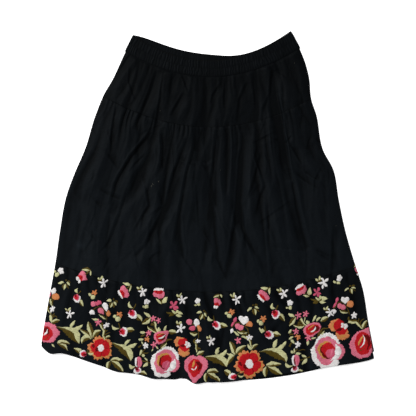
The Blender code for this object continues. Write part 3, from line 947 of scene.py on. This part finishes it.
        Disc("pink", (0.6, 2.4), (11.2, 11.0), 9, 0.07, layer=2),
        Disc("pink", (6.4, -2.6), (8.8, 8.0), 8, 0.08, layer=2),
        Disc("pink", (-2.4, -0.8), (8.8, 9.0), 9, 0.08, layer=2),
        Disc("pink", (-2.8, -6.2), (7.6, 5.8), 6, 0.1, layer=2),
        Disc("gold", (-0.8, 1.8), (8.0, 8.6), 17, 0.12, layer=3),
        Disc("crimson", (0.3, 0.2), (6.9, 8.0), 8, 0.08, layer=4),
        Disc("red", (1.2, 1.0), (6.0, 7.0), 8, 0.08, layer=5),
        Leaf("white", (-1.4, -9.2), (9.4, 3.0), 6.8, -3.8, 0, 0.62, 6),
        Disc("rosePink", (1.8, -2.8), (4.8, 4.6), 6, 0.12, layer=7),
        Leaf("pink", (0.4, -5.4), (4.6, 0.8), 2.4, -0.6, 0, 0.5, 8),
    ],
    "rose": [
        Disc("pink", (-3.6, 2.4), (8.2, 9.2), 6, 0.07),
        Disc("pink", (4.6, 2.6), (7.8, 8.8), 6, 0.07),
        Disc("pink", (0.0, -0.6), (9.4, 9.8), 9, 0.05, point=0.72, pointAt=-98),
        Disc("red", (-0.4, 0.2), (7.7, 8.4), 9, 0.05, layer=2, point=0.5, pointAt=-98),
        Disc("crimson", (1.8, 0.9), (4.8, 5.8), 9, 0.12, layer=3),
        Disc("red", (-1.0, -0.6), (5.0, 6.0), 7, 0.1, layer=4),
        Leaf("gold", (-3.2, -0.8), (-0.8, 6.4), 3.4, 0.4, 0, 0.35, 5),
        Leaf("white", (-4.2, -0.8), (-0.6, -3.4), 1.9, 0, 0, 0.5, 6),
        Leaf("white", (-1.0, -3.4), (0.6, 2.2), 1.6, -1.0, 0, 0.5, 6),
        Stem("olive", 0.6, [(-4.4, -3.8), (-1, -5.6), (2, -2.6), (2.4, 0.8)], 5),
    ],
    "sideRose": [
        Disc("pink", (-0.4, -1.4), (12.4, 14.2), 9, 0.07),
        Disc("pink", (5.0, 6.4), (9.0, 9.6), 6, 0.07),
        Disc("red", (0.9, 0.4), (9.9, 12.4), 9, 0.06, layer=2),
        Disc("crimson", (4.4, 1.4), (4.4, 9.0), 8, 0.12, layer=3),
        Disc("red", (1.8, -0.8), (4.6, 7.4), 7, 0.1, layer=4),
        Leaf("gold", (-4.4, -2.4), (1.6, 7.6), 3.4, 1.0, 0, 0.5, 5),
        Leaf("white", (-3.6, -4.0), (0.6, 9.2), 1.9, -4.0, 0, 0.5, 6),
        Stem("olive", 0.8, [(-3.8, -6.4), (1.2, -5.4), (5.0, 0.4), (4.6, 5.6)], 5),
    ],
    "leftRose": [
        Disc("pink", (0, 0), (13.4, 10.6), 8, 0.08, 20),
        Disc("red", (-1.6, -0.6), (9.6, 8.4), 9, 0.07, layer=2),
        Disc("crimson", (0.4, 2.0), (3.6, 4.4), 7, 0.14, layer=3),
        Leaf("gold", (-6.4, 0.4), (-3.4, 5.6), 3.0, 0.4, 0, 0.5, 4),
        Leaf("white", (-4.0, -3.2), (1.6, 4.4), 2.0, -1.0, 0, 0.5, 5),
        Stem("olive", 0.7, [(-2.6, -7.0), (1.8, -3.4), (3.4, 1.6)], 5),
    ],
    "leftSpray": [
        Stem("olive", 1.0, [(-1.4, 1.4), (-1.0, -3.6), (-0.6, -7.2)]),
        *twoTone((-3.8, -0.6), (-1.0, -5.6), 2.6, -0.4),
        Leaf("white", (-0.8, 3.4), (0.0, 10.8), 6.2, -0.9, 0, 0.62, 1),
        Leaf("pink", (-3.2, 0.4), (-2.8, 6.8), 2.4, 0, 0, 0.5, 1),
        Disc("orange", (2.6, 1.6), (4.1, 3.5), 5, 0.14, 30, 2),
    ],
    "ovalSpray": [
        Stem("olive", 1.1, [(-2.4, 3.4), (2.0, 2.6), (4.2, -2.4), (4.8, -9.5)]),
        *twoTone((3.6, -6.8), (-4.2, -5.0), 3.4, 1.0),
        Disc("pink", (-5.1, 5.1), (3.4, 3.1), 5, 0.1, layer=1),
        Disc("rosePink", (-1.6, -1.2), (3.2, 2.7), 5, 0.12, layer=1),
        Leaf("white", (2.4, -0.8), (2.8, 9.4), 6.2, 0, 0, 0.56, 1),
        Leaf("orange", (6.6, -5.0), (4.8, 3.0), 3.6, 0.5, 0, 0.4, 1),
    ],
    "bigLeaf": [
        Leaf("olive", (0, 0), (22, -16), 10.6, 4.8, -1, 0.53),
        Leaf("paleGreen", (0, 0), (22, -16), 10.0, 4.8, 1, 0.70),
        Leaf("paleGreen", (14.4, -1), (18.8, 6.2), 3.4, 0.8, 0, 0.45),
        Leaf("paleGreen", (16.0, -2.0), (26.4, 2.4), 3.6, -1.4, 0, 0.45),
    ],
    "trio": [
        *twoTone((0, 0), (13, 0), 5.0, 1.3),
        *twoTone((0.6, -0.6), (12.2, -10.4), 6.0, 1.3),
        *twoTone((-0.2, -0.4), (-1.4, -9.6), 4.4, -1.0, -1),
    ],
}

# Where the motifs lie on the chart, how far each is turned, how large it is, and whether it is mirrored
Place = namedtuple("Place", "column row turn size flip", defaults=(0, 1, 1))
places = {
    "bigLeaf": [
        (56.9, 326.9), (111.3, 342.5, -7, 0.98), (203.1, 356.7, 12, 0.94),
        (258.5, 350.7, 15, 1.09),
    ],
    "trio": [(110.6, 360.4), (206.5, 372.2, 4, 0.98), (265.9, 366.2, 10, 1.14)],
    "calyxStar": [
        (103.8, 282.5, -4), (142.8, 291.4), (182.5, 299.4), (236.6, 299, 8, 1.04),
        (283.3, 293.3, 10, 1.04), (323, 282.5, 14, 1.12), (70.3, 313.8, -16, 0.95),
        (180.6, 328, -14, 1.04), (211.6, 341.3, 3, 0.9), (329.9, 311.8, 8),
    ],
    "blobStar": [
        (147.2, 301.6), (338.8, 277.8, -8, 1.06), (289.8, 302.8), (61.4, 270.6, -42, 1.15),
        (197.3, 300.6, 20, 0.9),
    ],
    "plainStar": [
        (52.4, 308.7), (106.4, 324.8), (145.7, 345.2), (248.8, 336.9), (353.5, 315.4),
        (297.6, 343.9), (198, 340.4, 0, 0.8),
    ],
    "pinkStar": [
        (98.2, 322.4), (148.2, 332.8), (152.8, 317.8), (158.3, 319.9, 12, 0.9),
        (154.5, 344.5, 10), (238, 339.8, 5), (296.1, 331.3), (297.8, 315.4, 10),
        (305.1, 313.2, -8), (307.5, 337.6, 20, 1.05),
    ],
    "orangeStar": [(147.4, 338.9, 20, 0.95), (297.1, 337.1, -20, 0.95)],
    "orangeBlobStar": [(94.8, 292.1), (119.6, 314.2, -4), (231.7, 311.6, -10, 0.95), (262.7, 318.4)],
    "tulip": [(159.1, 293.1), (123.4, 292.1, 120), (262.7, 296.2, 130), (300.7, 289.2, 36)],
    "tulipBud": [(82, 277.2, 122, 1.2), (216.7, 303.4, 152), (358.8, 271.4, 175, 0.95)],
    "bud": [
        (132.3, 313.1), (77.3, 297.7, -14, 0.84), (122.8, 331.4, 45), (215.7, 324.7, 30, 0.95),
        (275.2, 313.9, 5, 0.95), (268.8, 334.7, 40, 0.98), (83.8, 353.4, -70, 0.85, -1),
        (232.9, 376, -70, 0.85, -1),
    ],
    "budPair": [(138, 365.2), (295, 363.6, 0, 1.04)],
    "sprig": [
        (65.8, 282.3), (113.3, 300.6, -14, 0.9), (202.9, 312.9, -10, 0.95), (253.2, 307.1, 26),
        (350.9, 287.2, 24, 0.95),
    ],
    "clusterStar": [(174.1, 305.2), (316.5, 291.9, 8)],
    "dropSpray": [(100, 310)],
    "leftSpray": [(53.4, 298.4)],
    "heartSpray": [(241, 325), (342.4, 305.4, 0, 0.94)],
    "ovalSpray": [(194, 327)],
    "smallRose": [(160.8, 336.7)],
    "wideRose": [(312.2, 329, 28)],
    "halfFlower": [(183, 345.2), (339.6, 328, 14, 1.14)],
    "bigFlower": [(100.9, 347.8, 0, 0.96), (249.2, 363.2, 22, 1.12)],
    "peony": [(165, 361.6), (326.8, 350.9, 24, 1.15)],
    "rose": [(195.8, 366.4)],
    "sideRose": [(362, 343.3)],
    "leftRose": [(46.5, 332.5)],
}

# Leaves and vines between the motifs, on the chart: bow is to the left of their run, and side is the side of
# the pale half, or 0 for a pale leaf
Sprout = namedtuple("Sprout", "fromColumn fromRow toColumn toRow width bow side", defaults=(0, 0))
sprouts = [
    (92.2, 338, 88.9, 321, 6.2, -0.4, 1), (91.8, 338.4, 80, 329, 4.6, -0.4, 1),
    (93, 337.6, 101.7, 330, 5.6, 1.4, 1), (91.6, 338.8, 81.4, 343.6, 5.6, -3.2, -1),
    (235.6, 355.3, 229.8, 341, 5.4, -0.6, 1), (235.8, 355, 245.8, 345.1, 5.8, 1.4, 1),
    (235, 355.6, 226.4, 353.4, 2.6, 0.6), (235, 356, 227.4, 365.4, 5.2, -1.8, -1),
    (251.3, 349.8, 247.7, 343, 3.2, 0.6), (251.5, 349.6, 258.1, 343.3, 4.2, 0.8, 1),
    (57.3, 341.9, 70.5, 343.8, 4.0, 1.2, 1), (57.3, 342.3, 68.7, 350.4, 4.6, 1.6, 1),
    (74.3, 347.9, 80.5, 354.4, 3.6, 0.8, 1), (52.2, 343.2, 54.8, 346.8, 1.8),
    (105.5, 338.9, 111.2, 336.8, 3.6, 1.0, 1), (50.7, 314, 51.7, 322.8, 2.8, -0.4),
    (51.2, 323.4, 60.4, 320.2, 4.4, 0.8, 1), (196.8, 355.8, 204.6, 350.2, 4.2, 0.6, 1),
    (362, 328.4, 367.8, 320.7, 4.0, 0.6, 1), (150.4, 316.4, 144, 311.8, 3.2, 0.5),
    (150, 317, 141.9, 324, 4.6, 0.8, 1), (157.4, 331.6, 147.2, 326, 3.6, 0.5, 1),
    (168, 331.6, 177.4, 332.4, 4.6, 0.6, 1), (294.6, 316.4, 287.9, 312.6, 3.2, 0.8),
    (294.9, 316.8, 288.6, 327, 4.6, 0.6, 1), (305.4, 325.6, 293.2, 324.6, 4.2, 0.6, 1),
    (312.6, 321.4, 315.9, 315.6, 2.2, 0.4), (316.4, 321.4, 320.6, 317.2, 2.0, 0.8),
    (320.9, 321.6, 328.5, 317.4, 4.6, 0.6, 1), (317.2, 337.6, 324, 330.8, 4.2, -0.4, -1),
    (161.1, 347.4, 166.6, 341.8, 3.6, -0.3, -1), (160.8, 331, 158.9, 326.6, 2.6, 0.6),
    (164.6, 330.8, 166.6, 325.2, 2.4, 0.4), (309.4, 323.4, 306.8, 319.6, 3.4, 0.4),
    (139.6, 332.1, 145.2, 332.1, 2.8), (138.8, 339, 144.4, 338.8, 2.6),
    (141.2, 341, 143.6, 344.2, 1.9), (288.3, 333.6, 292.4, 329.8, 2.6),
    (288.6, 339.4, 293.4, 336.6, 2.4), (290.6, 340, 294.4, 343.4, 2.6),
    (142.2, 349.4, 139.2, 354.4, 2.2), (141.4, 354.8, 145, 354.6, 3.2),
    (290.6, 350.2, 294, 353, 2.4), (294.2, 347.4, 294.6, 353.4, 1.9), (295.4, 354, 301, 353.4, 3.2),
    (144.4, 356.4, 147, 360.4, 1.7), (147, 361.6, 142.6, 366.2, 3.0, 0.4),
    (301.4, 355, 306.4, 357.2, 2.2), (306.4, 357.8, 302.6, 364.6, 3.4, 0.4),
    (99.4, 320.4, 92.4, 318.4, 2.2), (156.4, 345.6, 159.6, 348.4, 1.6), (153.8, 347.4, 151.8, 350.8, 1.5),
    (310.2, 337.4, 315.8, 337.4, 1.9), (308.2, 340.4, 307.8, 345.6, 2.0), (239.8, 334.6, 233.2, 331, 2.2),
]

# Each vine is a colour, a width and a path on the chart
vines = [
    ("paleGreen", 2.0, [(100.2, 324), (104.6, 329.6), (103.4, 334.6), (105.3, 339)]),
    ("olive", 1.5, [(101.8, 322), (106, 329.4), (104.9, 334.6), (106, 338.6)]),
    ("olive", 1.1, [(105.4, 331.4), (107.8, 330)]), ("olive", 1.1, [(105.8, 333.8), (110.4, 332.8)]),
    ("olive", 1.6, [(103.6, 327), (102.6, 323.2)]),
    ("paleGreen", 1.6, [(46.8, 306.6), (48, 310.6), (51.6, 313)]),
    ("olive", 1.6, [(48.4, 305.2), (47.6, 309), (52, 313.4), (53, 318.6)]),
    ("olive", 1.4, [(52.2, 316), (55.4, 313)]), ("olive", 1.4, [(52.6, 317.6), (55.6, 315), (58.2, 317.8)]),
    ("paleGreen", 1.5, [(195.2, 341), (196, 347), (196.6, 352)]),
    ("olive", 1.8, [(196.6, 338), (193.4, 341), (196.6, 344.6), (197.6, 350)]),
    ("olive", 2.0, [(197.4, 347.6), (201, 347.8)]), ("olive", 1.2, [(198.6, 333), (198.8, 337.4)]),
    ("paleGreen", 2.2, [(347.6, 321), (351.4, 322.6), (355.4, 321.6), (358.8, 325.4), (361.6, 327.8)]),
    ("olive", 1.8, [(348.2, 316.4), (347.6, 319.6), (352, 320.6), (356.8, 320), (360.6, 324.6), (362, 327)]),
    ("olive", 1.2, [(358.2, 321), (358.4, 318)]), ("olive", 1.2, [(360, 323), (361.2, 319.4), (364, 318.6)]),
    ("olive", 1.9, [(165.2, 341.4), (168, 339.4), (172.2, 339.2)]),
    ("olive", 1.9, [(318.6, 334), (322, 329.4), (328, 327.4)]),
    ("paleGreen", 1.9, [(154, 321), (156.2, 327), (158.6, 331)]),
    ("olive", 1.3, [(152.8, 320.6), (155, 327), (157.8, 331.4)]),
    ("paleGreen", 1.9, [(300.4, 318.4), (304.6, 324), (308, 326.2)]),
    ("olive", 1.3, [(299.4, 319), (303.4, 324.6), (307, 327)]),
    ("paleGreen", 1.2, [(304.6, 316.4), (304.4, 321)]),
    ("olive", 2.4, [(150.6, 323.4), (153.4, 324)]), ("olive", 2.4, [(298.2, 322.2), (300.8, 322.8)]),
    ("paleGreen", 1.8, [(241.8, 335.6), (245.6, 337.6), (249.6, 340.2), (251.4, 346)]),
    ("olive", 1.8, [(242, 333.6), (246.4, 334.4), (250.4, 339.4), (252, 346)]),
    ("olive", 1.8, [(243, 333), (244.4, 330.4)]),
    ("olive", 1.8, [(140.8, 335.4), (144.6, 334.6)]), ("olive", 2.4, [(138.8, 347.6), (141, 344.6)]),
    ("olive", 1.9, [(289.4, 334.8), (293.6, 334.6)]), ("olive", 2.2, [(289.4, 346.4), (291.8, 342.6)]),
    ("olive", 1.4, [(140.6, 355.4), (144, 349.6), (145, 348.6)]),
    ("olive", 1.2, [(142.8, 352.4), (148.6, 352.2)]),
    ("olive", 1.4, [(293.6, 353), (297, 348.6), (297.4, 347.4)]),
    ("olive", 1.2, [(297.6, 350.4), (305, 349.4)]),
    ("olive", 1.3, [(142, 360.2), (146.4, 360.6), (149.8, 362.8)]),
    ("olive", 1.3, [(299.8, 359.8), (304.8, 358.4), (309.6, 356.8)]),
    ("olive", 1.3, [(87.8, 352.4), (90, 350.8)]), ("olive", 1.2, [(237.2, 374.6), (238.8, 370.6)]),
    ("paleGreen", 1.6, [(51, 299), (50.4, 303), (52.2, 306)]), ("olive", 1.0, [(53.4, 299), (52.6, 307)]),
    ("olive", 1.6, [(265.4, 327), (265, 331.6)]), ("paleGreen", 2.2, [(263.8, 329.4), (261.4, 332.6)]),
]

# On the back layer the stitches are pressed flatter, so that none reaches the floor
stitch = {"lift": 0.42, "layer": 0.16, "cushion": 0.55, "sink": 0.35, "flatter": 0.3, "pressed": 0.97}
leafEdge = {"plain": 0.06, "saw": 0.17, "teeth": 0.62}
slant = {"cos": 0.77, "sin": 0.64}  # threads lie 50 degrees off a leaf's or stem's run
wobble = {"wide": (0.8, 5.2, 71), "fine": (0.34, 1.5, 73)}  # squares aside, squares across and seed


# A leaf's grid: its middle line bows, its half width swells as the sine of its length, and its edge has teeth
def leafPatch(leaf):
    base, tip = np.array(leaf.base, float), np.array(leaf.tip, float)
    length = np.hypot(*(tip - base))
    rows = int(np.clip(length * 1.8, 6, 40))
    cols = 4 if leaf.half else 6
    t = np.linspace(0, 1, rows)[:, None]
    sides = (min(leaf.half, 0), max(leaf.half, 0)) if leaf.half else (-1, 1)
    s = np.linspace(*sides, cols)[None, :]
    run = (tip - base) / length
    left = np.array([-run[1], run[0]])
    slope = leaf.bend * 4 * (1 - 2 * t) / length
    half = leaf.width / 2 * np.sin(np.pi * t ** (np.log(0.5) / np.log(leaf.full))) ** 0.8
    saw = leafEdge["saw"] if leaf.half and leaf.colour == "olive" else leafEdge["plain"]
    ends = 1 + saw * (np.abs(s) > 0.9) * (2 * (leafEdge["teeth"] * length * t % 1) - 1)
    sideways = leaf.bend * 4 * t * (1 - t) + s * half * ends / np.hypot(1, slope)
    forward = length * t - s * half * slope / np.hypot(1, slope)
    x = base[0] + forward * run[0] + sideways * left[0]
    y = base[1] + forward * run[1] + sideways * left[1]
    swell = np.abs(np.sin(np.pi * np.abs(s))) ** 0.6 if leaf.half else np.sqrt(1 - s**2)
    rise = swell * np.clip(np.sin(np.pi * t), 0, 1) ** 0.35
    return x, y, rise, *slanted(length * t + 0 * s, np.abs(s) * half)


def slanted(along, across):
    return slant["cos"] * along - slant["sin"] * across, slant["sin"] * along + slant["cos"] * across


# A disc's grid: rings from its centre out to a scalloped edge, with its threads running outwards
def discPatch(disc):
    size = max(disc.reach)
    spokes, rings = int(np.clip(size * 7, 14, 80)), int(np.clip(size * 1.1, 3, 11))
    angle = np.linspace(0, 2 * np.pi, spokes + 1)[None, :]
    share = (np.linspace(0, 1, rings + 1) ** 0.8)[:, None]
    wave = np.abs(np.sin(disc.lobes * (angle - np.radians(disc.turn)) / 2)) ** 0.6 if disc.lobes else 1
    towards = np.angle(np.exp(1j * (angle - np.radians(disc.pointAt)))) / 0.42
    edge = (1 - disc.scallop + disc.scallop * wave) * (1 + disc.point * np.exp(-np.abs(towards) ** 1.3))
    frill, turns = (0.12, 2) if disc.colour == "orange" else (0.06, 1.5)
    edge = edge * (1 - frill + frill * np.abs(np.sin(turns * disc.lobes * angle + 0.8)))
    ragged = 1 + 0.02 * np.sin(angle * round(9 * size)) * (share > 0.95)
    x = disc.centre[0] + disc.reach[0] * edge * share * ragged * np.cos(angle)
    y = disc.centre[1] + disc.reach[1] * edge * share * ragged * np.sin(angle)
    rise = np.clip((1 - share) / min(0.5, 0.9 / size), 0, 1) ** 0.5 * (1 - 0.15 * share) + 0 * angle
    return x, y, rise, angle * 0.7 * size + 0 * share, size * share + 0 * angle


# A stem's grid: a ribbon along a curve through its points
def stemPatch(stem):
    path = np.array(stem.path, float)
    marks = np.concatenate([[0], np.cumsum(np.hypot(*np.diff(path, axis=0).T))])
    steps = np.linspace(0, marks[-1], int(max(4, marks[-1] * 1.4)))
    line = np.stack([np.interp(steps, marks, path[:, axis]) for axis in (0, 1)], 1)
    for _ in range(4):
        line[1:-1] = (line[:-2] + 2 * line[1:-1] + line[2:]) / 4
    run = np.gradient(line, axis=0)
    run /= np.hypot(*run.T)[:, None]
    s = np.linspace(-1, 1, 4)[None, :]
    half = stem.width / 2 * (1 - 0.35 * (steps / steps[-1])[:, None])
    x = line[:, :1] - s * half * run[:, 1:]
    y = line[:, 1:] + s * half * run[:, :1]
    return x, y, np.sqrt(1 - s**2) + 0 * x, *slanted(steps[:, None] + 0 * s, s * half)


patchOf = {Leaf: leafPatch, Disc: discPatch, Stem: stemPatch}


# Every shape with the place it is put at: the motifs, then the sprouts and vines, which lie on the chart
def allShapes():
    for name, spots in places.items():
        for spot in spots:
            for shape in motifs[name]:
                yield shape, Place(*spot)
    origin = Place(0, 0)
    for s in (Sprout(*row) for row in sprouts):
        ends = (s.fromColumn, -s.fromRow), (s.toColumn, -s.toRow)
        pale = Leaf("paleGreen", *ends, s.width, s.bow)
        for shape in twoTone(*ends, s.width, s.bow, s.side) if s.side else [pale]:
            yield shape, origin
    for colour, width, path in vines:
        yield Stem(colour, width, [(column, -row) for column, row in path]), origin


# A patch put at its place on the chart, where slow and fine noise push it about as hand work does
def onCloth(shape, spot):
    x, y, rise, across, along = patchOf[type(shape)](shape)
    turn = np.radians(spot.turn)
    x = x * spot.flip
    column = spot.column + spot.size * (x * np.cos(turn) - y * np.sin(turn))
    row = spot.row - spot.size * (x * np.sin(turn) + y * np.cos(turn))
    pushX, pushY = 0, 0
    for aside, reach, seed in wobble.values():
        pushX = pushX + aside * noise(column / reach, row / reach, seed)
        pushY = pushY + aside * noise(column / reach, row / reach, seed + 1)
    lift = stitch["lift"] + stitch["layer"] * shape.layer - stitch["sink"] * (rise < 0.05)
    lift = lift + stitch["cushion"] * rise
    return *onChart(column + pushX, row + pushY), lift, across, along


# Which way round a grid of points lies: above 0 where its rows and columns turn to the left
def winding(x, y):
    down, across = np.diff(x, axis=0)[:, :-1], np.diff(x, axis=1)[:-1]
    return np.sum(down * np.diff(y, axis=1)[:-1] - np.diff(y, axis=0)[:, :-1] * across)


# Lays patches on the border tier: what reaches past a side turns round it onto the other layer
def embroider(back):
    border = tiers["border"]
    grids = {colour: [] for colour in threadColours}
    for shape, spot in allShapes():
        grids[shape.colour].append(onCloth(shape, spot))
    for colour, patches in grids.items():
        atX, atY, lift, across, along = (np.concatenate([p[i].ravel() for p in patches]) for i in range(5))
        u, depth = sheetPlace(atX, atY)
        depth = np.minimum(depth, depthOf["hem"] - 0.6)
        over = np.abs(u) > 1
        u = np.where(over, np.sign(u) * (2 - np.abs(u)), u) * (-1 if back else 1)
        x, y = planPoint(u, depth)
        front = frontHeight(border, u, depth, x, y) + lift
        behind = backHeight(border, u, depth, x, y)
        behind = behind - behind * stitch["pressed"] * np.tanh(stitch["flatter"] * lift / behind)
        z = np.where(over != back, behind, front)
        x = x + np.sign(u) * lift * sideRoll(u, depth) * 0.8
        points, threads = np.stack([x, y, z], -1), np.stack([across, along], -1) * chart["square"]
        kept, faces, start, count = [], [], 0, 0
        for patch in patches:
            shape, span = patch[0].shape, slice(start, start + patch[0].size)
            start += patch[0].size
            if back and over[span].any():
                continue
            cells = gridFaces(*shape) + count
            upwards = winding(x[span].reshape(shape), y[span].reshape(shape)) > 0
            faces.append(cells if upwards != back else cells[:, ::-1])
            kept.append(np.arange(span.start, span.stop))
            count += patch[0].size
        kept = np.concatenate(kept)
        name = f"{colour}Stitches{'Back' if back else 'Front'}"
        piece = newPiece(name, points[kept], np.concatenate(faces), threadOf[colour], uv=threads[kept])


threadOf = {colour: threadMaterial(colour, value) for colour, value in threadColours.items()}
embroider(back=False)
embroider(back=True)
print("embroidery done")


# Sewing

# Lines of machine stitches: the tier or band each lies on, the section it keeps to, and how far below that
SeamLine = namedtuple("SeamLine", "on section below thread")
seamLines = [
    SeamLine("band", "waist", 2.4, "brown"),
    SeamLine("band", "waist", 22.5, "black"),
    SeamLine("band", "bandSeam", -2.6, "black"),
    SeamLine("upper", "hipSeam", -1.7, "black"),
    SeamLine("middle", "borderSeam", -1.7, "black"),
    SeamLine("border", "hem", -14, "black"),
]
sewing = {
    "long": 2.3, "pitch": 3.1, "wide": 0.6, "high": 0.25, "reach": 0.975, "samples": 1600,
    "threads": {"black": (0.0012, 0.0014, 0.0018), "brown": (0.0048, 0.0040, 0.0022)},
}


# One seam line as stitches: each is a small grid, t along and s across, whose half width and height both
# follow a half circle
def stitchGrids(line, back):
    u = np.linspace(-sewing["reach"], sewing["reach"], sewing["samples"])
    depth = np.full_like(u, depthOf[line.section] + line.below)
    x, y = planPoint(u, depth, back)
    if line.on == "band":
        ribs = shirring(u, depth / depthOf["bandSeam"], 3)
        outside = band["half"] * 2 + band["gap"] / 2 + band["ribHeight"] * ribs
        z = np.maximum(band["rise"] + (-0.8 if back else 1) * outside, 0.05)
    else:
        z = (backHeight if back else frontHeight)(tiers[line.on], u, depth, x, y)
    marks = np.concatenate([[0], np.cumsum(np.hypot(np.diff(x), np.diff(y)))])
    starts = np.arange(0, marks[-1] - sewing["long"], sewing["pitch"])
    t, s = np.linspace(0, 1, 4)[None, :, None], np.linspace(-1, 1, 3)[None, None, :]
    at = starts[:, None, None] + t * sewing["long"]
    runX, runY = (np.interp(at, marks, np.gradient(side, marks)) for side in (x, y))
    narrow = np.sqrt(1 - (2 * t - 1) ** 2 * 0.9)
    aside = s * narrow * sewing["wide"] / 2
    rise = sewing["high"] * narrow * np.sqrt(1 - s**2)
    z = np.interp(at, marks, z) + (np.maximum(-rise, -0.04) if back else rise)
    return np.stack([np.interp(at, marks, x) - aside * runY, np.interp(at, marks, y) + aside * runX, z], -1)


def sew(thread, back):
    stitches = np.concatenate([stitchGrids(line, back) for line in seamLines if line.thread == thread])
    count, rows, cols, _ = stitches.shape
    faces = (gridFaces(rows, cols)[None] + rows * cols * np.arange(count)[:, None, None]).reshape(-1, 4)
    material, _, _ = shaderOf(thread + "SewingThread", sewing["threads"][thread], 0.6, 0.02)
    name = f"{thread}Sewing{'Back' if back else 'Front'}"
    piece = newPiece(name, stitches.reshape(-1, 3), faces if back else faces[:, ::-1], material)


for threadName in sewing["threads"]:
    sew(threadName, back=False)
    sew(threadName, back=True)


# A few short pale fibres that have caught on the cloth: place, length and turn, and which tier they lie on
Fibre = namedtuple("Fibre", "column row long turn tier")
fibres = [
    (151.3, 187.3, 2.6, 60, "middle"), (153.8, 184.6, 1.9, 130, "middle"),
    (158.8, 182.5, 1.8, 80, "middle"), (160.4, 111.5, 0.6, 40, "upper"),
    (220.5, 170.5, 0.5, 10, "middle"), (336.0, 226.0, 0.5, 70, "middle"),
    (294.6, 63.8, 0.5, 70, "upper"),
]


def strewFibres():
    points, faces, count = [], [], 0
    for fibre in (Fibre(*row) for row in fibres):
        turn = np.radians(fibre.turn)
        tip = fibre.long * np.cos(turn), fibre.long * np.sin(turn)
        x, y, rise, _, _ = leafPatch(Leaf("white", (0, 0), tip, 0.5, 0.35))
        atX, atY = onChart(fibre.column + x, fibre.row - y)
        u, depth = sheetPlace(atX, atY)
        z = frontHeight(tiers[fibre.tier], u, depth, atX, atY) + 0.1 + 0.3 * rise
        cells = gridFaces(*atX.shape) + count
        faces.append(cells if winding(atX, atY) > 0 else cells[:, ::-1])
        points.append(np.stack([atX, atY, z], -1).reshape(-1, 3))
        count += atX.size
    material, _, _ = shaderOf("paleFibre", (0.040, 0.040, 0.031), 0.8, 0.05)
    piece = newPiece("fibres", np.concatenate(points), np.concatenate(faces), material)


strewFibres()
print("sewing done")


# Stage

floorSize = 4000
lamp = {"place": (-3000, 2200, 3700), "size": 1900, "power": 340}
camera = {"height": 2600, "aim": (1.3, -1.3), "frame": 416 * chart["square"], "sensor": 36}


def floor():
    half = floorSize / 2
    points = np.array([(-half, half, -0.2), (-half, -half, -0.2), (half, -half, -0.2), (half, half, -0.2)])
    mesh = bpy.data.meshes.new("floor")
    mesh.from_pydata((points * mm).tolist(), [], [(0, 1, 2, 3)])
    material, _, shader = shaderOf("paleFloor", (0.95, 0.95, 0.95), 0.9, 0.0)
    shader.inputs["Emission Color"].default_value = (1, 1, 1, 1)
    shader.inputs["Emission Strength"].default_value = 0.5  # keeps the shadow under the hem faint
    mesh.materials.append(material)
    obj = bpy.data.objects.new("floor", mesh)
    bpy.context.scene.collection.objects.link(obj)


def lighting():
    world = bpy.data.worlds.new("studio")
    world.use_nodes = True
    world.node_tree.nodes["Background"].inputs["Color"].default_value = (1, 1, 1, 1)
    world.node_tree.nodes["Background"].inputs["Strength"].default_value = 0.5
    bpy.context.scene.world = world
    light = bpy.data.lights.new("window", "AREA")
    light.size = lamp["size"] * mm
    light.energy = lamp["power"]
    obj = bpy.data.objects.new("window", light)
    obj.location = np.array(lamp["place"]) * mm
    obj.rotation_euler = (-Vector(obj.location)).to_track_quat("-Z", "Y").to_euler()
    bpy.context.scene.collection.objects.link(obj)


def takeCamera():
    lens = bpy.data.cameras.new("overhead")
    lens.sensor_width = camera["sensor"]
    lens.lens = camera["sensor"] * camera["height"] / camera["frame"]
    obj = bpy.data.objects.new("overhead", lens)
    obj.location = (camera["aim"][0] * mm, camera["aim"][1] * mm, camera["height"] * mm)
    bpy.context.scene.collection.objects.link(obj)
    bpy.context.scene.camera = obj


floor()
lighting()
takeCamera()
bpy.context.scene.view_settings.view_transform = "Standard"
